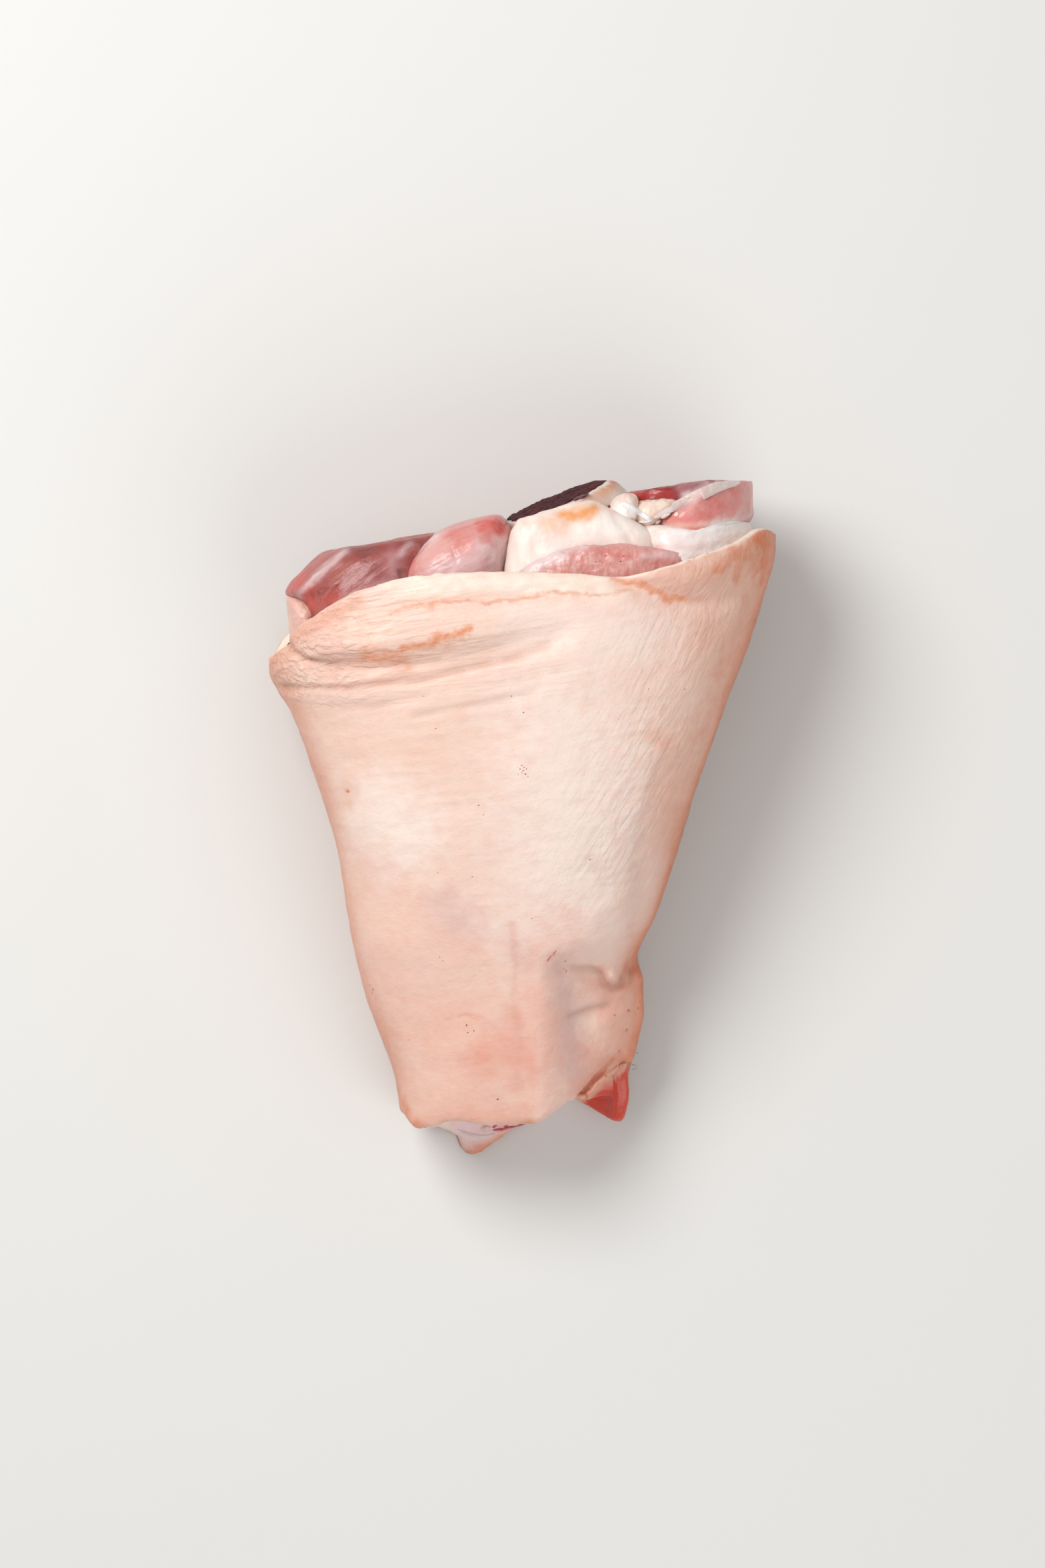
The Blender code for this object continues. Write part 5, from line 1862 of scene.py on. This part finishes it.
@dataclass
class Bone:
    """The leg bone: a shaft that flares into the knuckle's head, sawn off through its marrow."""

    stations: tuple[tuple[float, ...], ...] = (
        (-93, -6, 21, 11.5, 9), (-82, -6, 21, 12, 9.5), (-60, -4, 24, 10, 8.5), (-20, 2, 31, 9.5, 8.5),
        (20, 7, 38, 11, 10), (48, 11, 44, 14, 13.5), (68, 13, 49, 18, 17.5), (84, 13.8, 50, 20, 19),
        (97, 14, 50, 20.2, 19), (102, 14, 49.5, 18, 18), (107.5, 13.6, 49, 12.4, 15),
    )
    saw_point: Triple = (9.0, 98.3, 50.0)
    saw_normal: Triple = (-0.38, 0.915, 0.12)
    saw_from: float = 60.0
    saw_softness: float = 0.8
    face_blend: Pair = (-0.6, 0.4)
    hock_face: Pair = (-90.0, -92.0)
    hock_marrow: Pair = (0.75, 0.55)  # in this share of the hock end's half width, the marrow shows
    hock_redness: float = 0.8
    inset: float = 0.1
    lumps: tuple[Ripple, ...] = (Ripple(0.25, 5.0, shift=2.0), Ripple(0.12, 1.5, shift=3.0))
    corners: float = 0.07
    corner_turn: float = 0.8
    segments: int = 160
    rings: int = 220
    cap_rings: int = 24
    stains: tuple[Stain, ...] = (
        Stain(Tint.TAN, ((22.5, 103.6), (26.6, 104.6)), 3.4, 1.0),
        Stain(Tint.RAW, ((21.5, 105.2), (25.5, 106.4), (28.4, 104.8)), 1.3, 0.65),
        Stain(Tint.BLUSH, ((2, 94), (12, 97.5), (24, 100)), 2.0, 0.4),
    )
    face: Array = derived()
    reach: Array = derived()

    def place(self, segment: Array, ring: Array) -> Array:
        """Where the bone has its points.

        Args:
            segment: Numbers round it.
            ring: Numbers along it, the hock end first.

        Returns:
            The points, in millimetres.
        """
        table = np.array(self.stations)
        tracks = [Spline(table[:, (0, n)]) for n in range(1, 5)]
        angle = 2 * np.pi * segment / self.segments
        share = np.clip((ring - self.cap_rings) / (self.rings - 2 * self.cap_rings), 0, 1)
        y = table[0, 0] + (table[-1, 0] - table[0, 0]) * share
        x, z, half_width, half_thickness = (track(y) for track in tracks)
        cap = np.minimum(ring, self.rings - ring) / self.cap_rings
        size = (1 + self.corners * np.cos(3 * angle + self.corner_turn)) * np.clip(cap, 0, 1)
        points = np.stack([x + size * half_width * np.cos(angle), y,
                           z + size * half_thickness * np.sin(angle)],
                          axis=-1)
        normal = np.array(self.saw_normal) / np.linalg.norm(self.saw_normal)
        beyond = (points - np.array(self.saw_point)) @ normal
        cut = np.where(y > self.saw_from, beyond - soft_minimum(beyond, 0.0, self.saw_softness), 0.0)
        self.face = smooth_step(*self.face_blend, beyond) * (y > self.saw_from)
        self.reach = np.clip(cap, 0, 1)
        return points - cut[:, None] * normal

    def build(self) -> bpy.types.Object:
        """Makes the bone.

        Returns:
            The piece.
        """
        mesh = mapped_sphere(self.segments, self.rings, self.place)
        points = points_of(mesh)
        push(mesh, sum(ripple.at(points) for ripple in self.lumps) - self.inset)
        paint = Paint(points)
        paint.stain(self.stains, 1 - self.face)
        paint.add(Tint.SAWN, self.face)
        hock = smooth_step(*self.hock_face, points[:, 1])
        paint.add(Tint.RAW, hock * smooth_step(*self.hock_marrow, self.reach) * self.hock_redness)
        return finish_piece(mesh, "leg_bone", BONE.material(), "bone", paint)


@dataclass
class Marrow:
    """The dark red spongy marrow that fills the bone's sawn face."""

    middle: Triple = (10.3, 98.9, 49.6)
    half_sizes: Triple = (16.4, 0.8, 17.0)
    turn: float = 22.5  # degrees about Z by which the face looks to one side
    lean: float = -7.0  # degrees by which it looks up
    waves: tuple[Triple, ...] = ((3, 0.06, 0.8), (7, 0.03, 0.0))  # count round the rim, height, start
    lumps: tuple[Ripple, ...] = (Ripple(0.5, 2.6, shift=2.0), Ripple(0.25, 1.1, shift=5.0))
    segments: int = 120
    rings: int = 120

    def place(self, segment: Array, ring: Array) -> Array:
        """Where the marrow has its points.

        Args:
            segment: Numbers round it.
            ring: Numbers from one face to the other.

        Returns:
            The points, in millimetres.
        """
        angle, tilt = 2 * np.pi * segment / self.segments, np.pi * ring / self.rings
        wave = 1 + sum(height * np.cos(count * angle + start) for count, height, start in self.waves)
        out = np.sin(tilt) * wave
        local = np.stack([out * np.cos(angle), np.cos(tilt), out * np.sin(angle)], axis=-1)
        turned = Euler((math.radians(-self.lean), 0.0, math.radians(self.turn))).to_matrix()
        return np.array(self.middle) + (local * np.array(self.half_sizes)) @ np.array(turned).T

    def build(self) -> bpy.types.Object:
        """Makes the marrow.

        Returns:
            The piece.
        """
        mesh = mapped_sphere(self.segments, self.rings, self.place)
        points = points_of(mesh)
        push(mesh, sum(ripple.at(points) for ripple in self.lumps))
        return finish_piece(mesh, "marrow", MARROW.material(), "bone")


# ---------------------------------------------------------------------------------------------------------
# The studio
# ---------------------------------------------------------------------------------------------------------
@dataclass
class Studio:
    """A plain pale floor, soft light from above and a camera straight overhead."""

    floor_colour: Colour = srgb(228, 226, 222)
    floor_shade: Colour = srgb(220, 218, 214)
    floor_mottle: float = 30.0
    floor_half: float = 4000.0
    world_colour: Colour = srgb(236, 238, 240)
    world_strength: float = 0.5
    aim: Triple = (0.0, 10.75, 30.0)
    camera_height: float = 8000.0
    view_height: float = 493.9  # millimetres that the frame's long side takes in
    sensor: float = 36.0
    lamps: tuple[tuple[str, Triple, float, float], ...] = (
        ("key_lamp", (-560.0, 560.0, 1000.0), 700.0, 11.3),
        ("fill_lamp", (500.0, -700.0, 900.0), 1000.0, 4.0),
    )

    def build(self) -> None:
        """Makes the floor, the lamps, the world and the camera."""
        scene = bpy.context.scene
        mesh = bmesh.new()
        bmesh.ops.create_grid(mesh, x_segments=1, y_segments=1, size=self.floor_half * MM)
        data = bpy.data.meshes.new("floor")
        mesh.to_mesh(data)
        mesh.free()
        floor = bpy.data.objects.new("floor", data)
        shader = Shader("floor_paper")
        tone = shader.mix(shader.noise(self.floor_mottle) * 0.1, self.floor_colour, self.floor_shade)
        data.materials.append(shader.dress({"Roughness": 0.9, "Specular IOR Level": 0.1},
                                           {"Base Color": tone}))
        scene.collection.objects.link(floor)
        for name, place, size, power in self.lamps:
            lamp = bpy.data.lights.new(name, "AREA")
            lamp.shape = "DISK"
            lamp.size = size * MM
            lamp.energy = power
            holder = bpy.data.objects.new(name, lamp)
            holder.location = Vector(place) * MM
            way = Vector(self.aim) * MM - holder.location
            holder.rotation_euler = way.to_track_quat("-Z", "Y").to_euler()
            scene.collection.objects.link(holder)
        world = bpy.data.worlds.new("studio")
        world.use_nodes = True
        background = world.node_tree.nodes["Background"]
        background.inputs["Color"].default_value = (*self.world_colour, 1.0)
        background.inputs["Strength"].default_value = self.world_strength
        scene.world = world
        lens = bpy.data.cameras.new("overhead")
        lens.sensor_width = self.sensor
        lens.lens = self.sensor * (self.camera_height - self.aim[2]) / self.view_height
        lens.clip_end = 20.0
        camera = bpy.data.objects.new("overhead", lens)
        camera.location = (self.aim[0] * MM, self.aim[1] * MM, self.camera_height * MM)
        scene.collection.objects.link(camera)
        scene.camera = camera
        scene.view_settings.view_transform = "Standard"


def main() -> None:
    """Builds the knuckle's pieces and the studio."""
    logging.basicConfig(level=logging.INFO, format="%(message)s")
    Rind().build()
    for meat in MEAT:
        meat.build()
    Bone().build()
    Marrow().build()
    for part in (*STRANDS, *BLOBS, *SKIN_MARKS):
        part.build()
    Bristles().build()
    Studio().build()


if __name__ == "__main__":
    main()
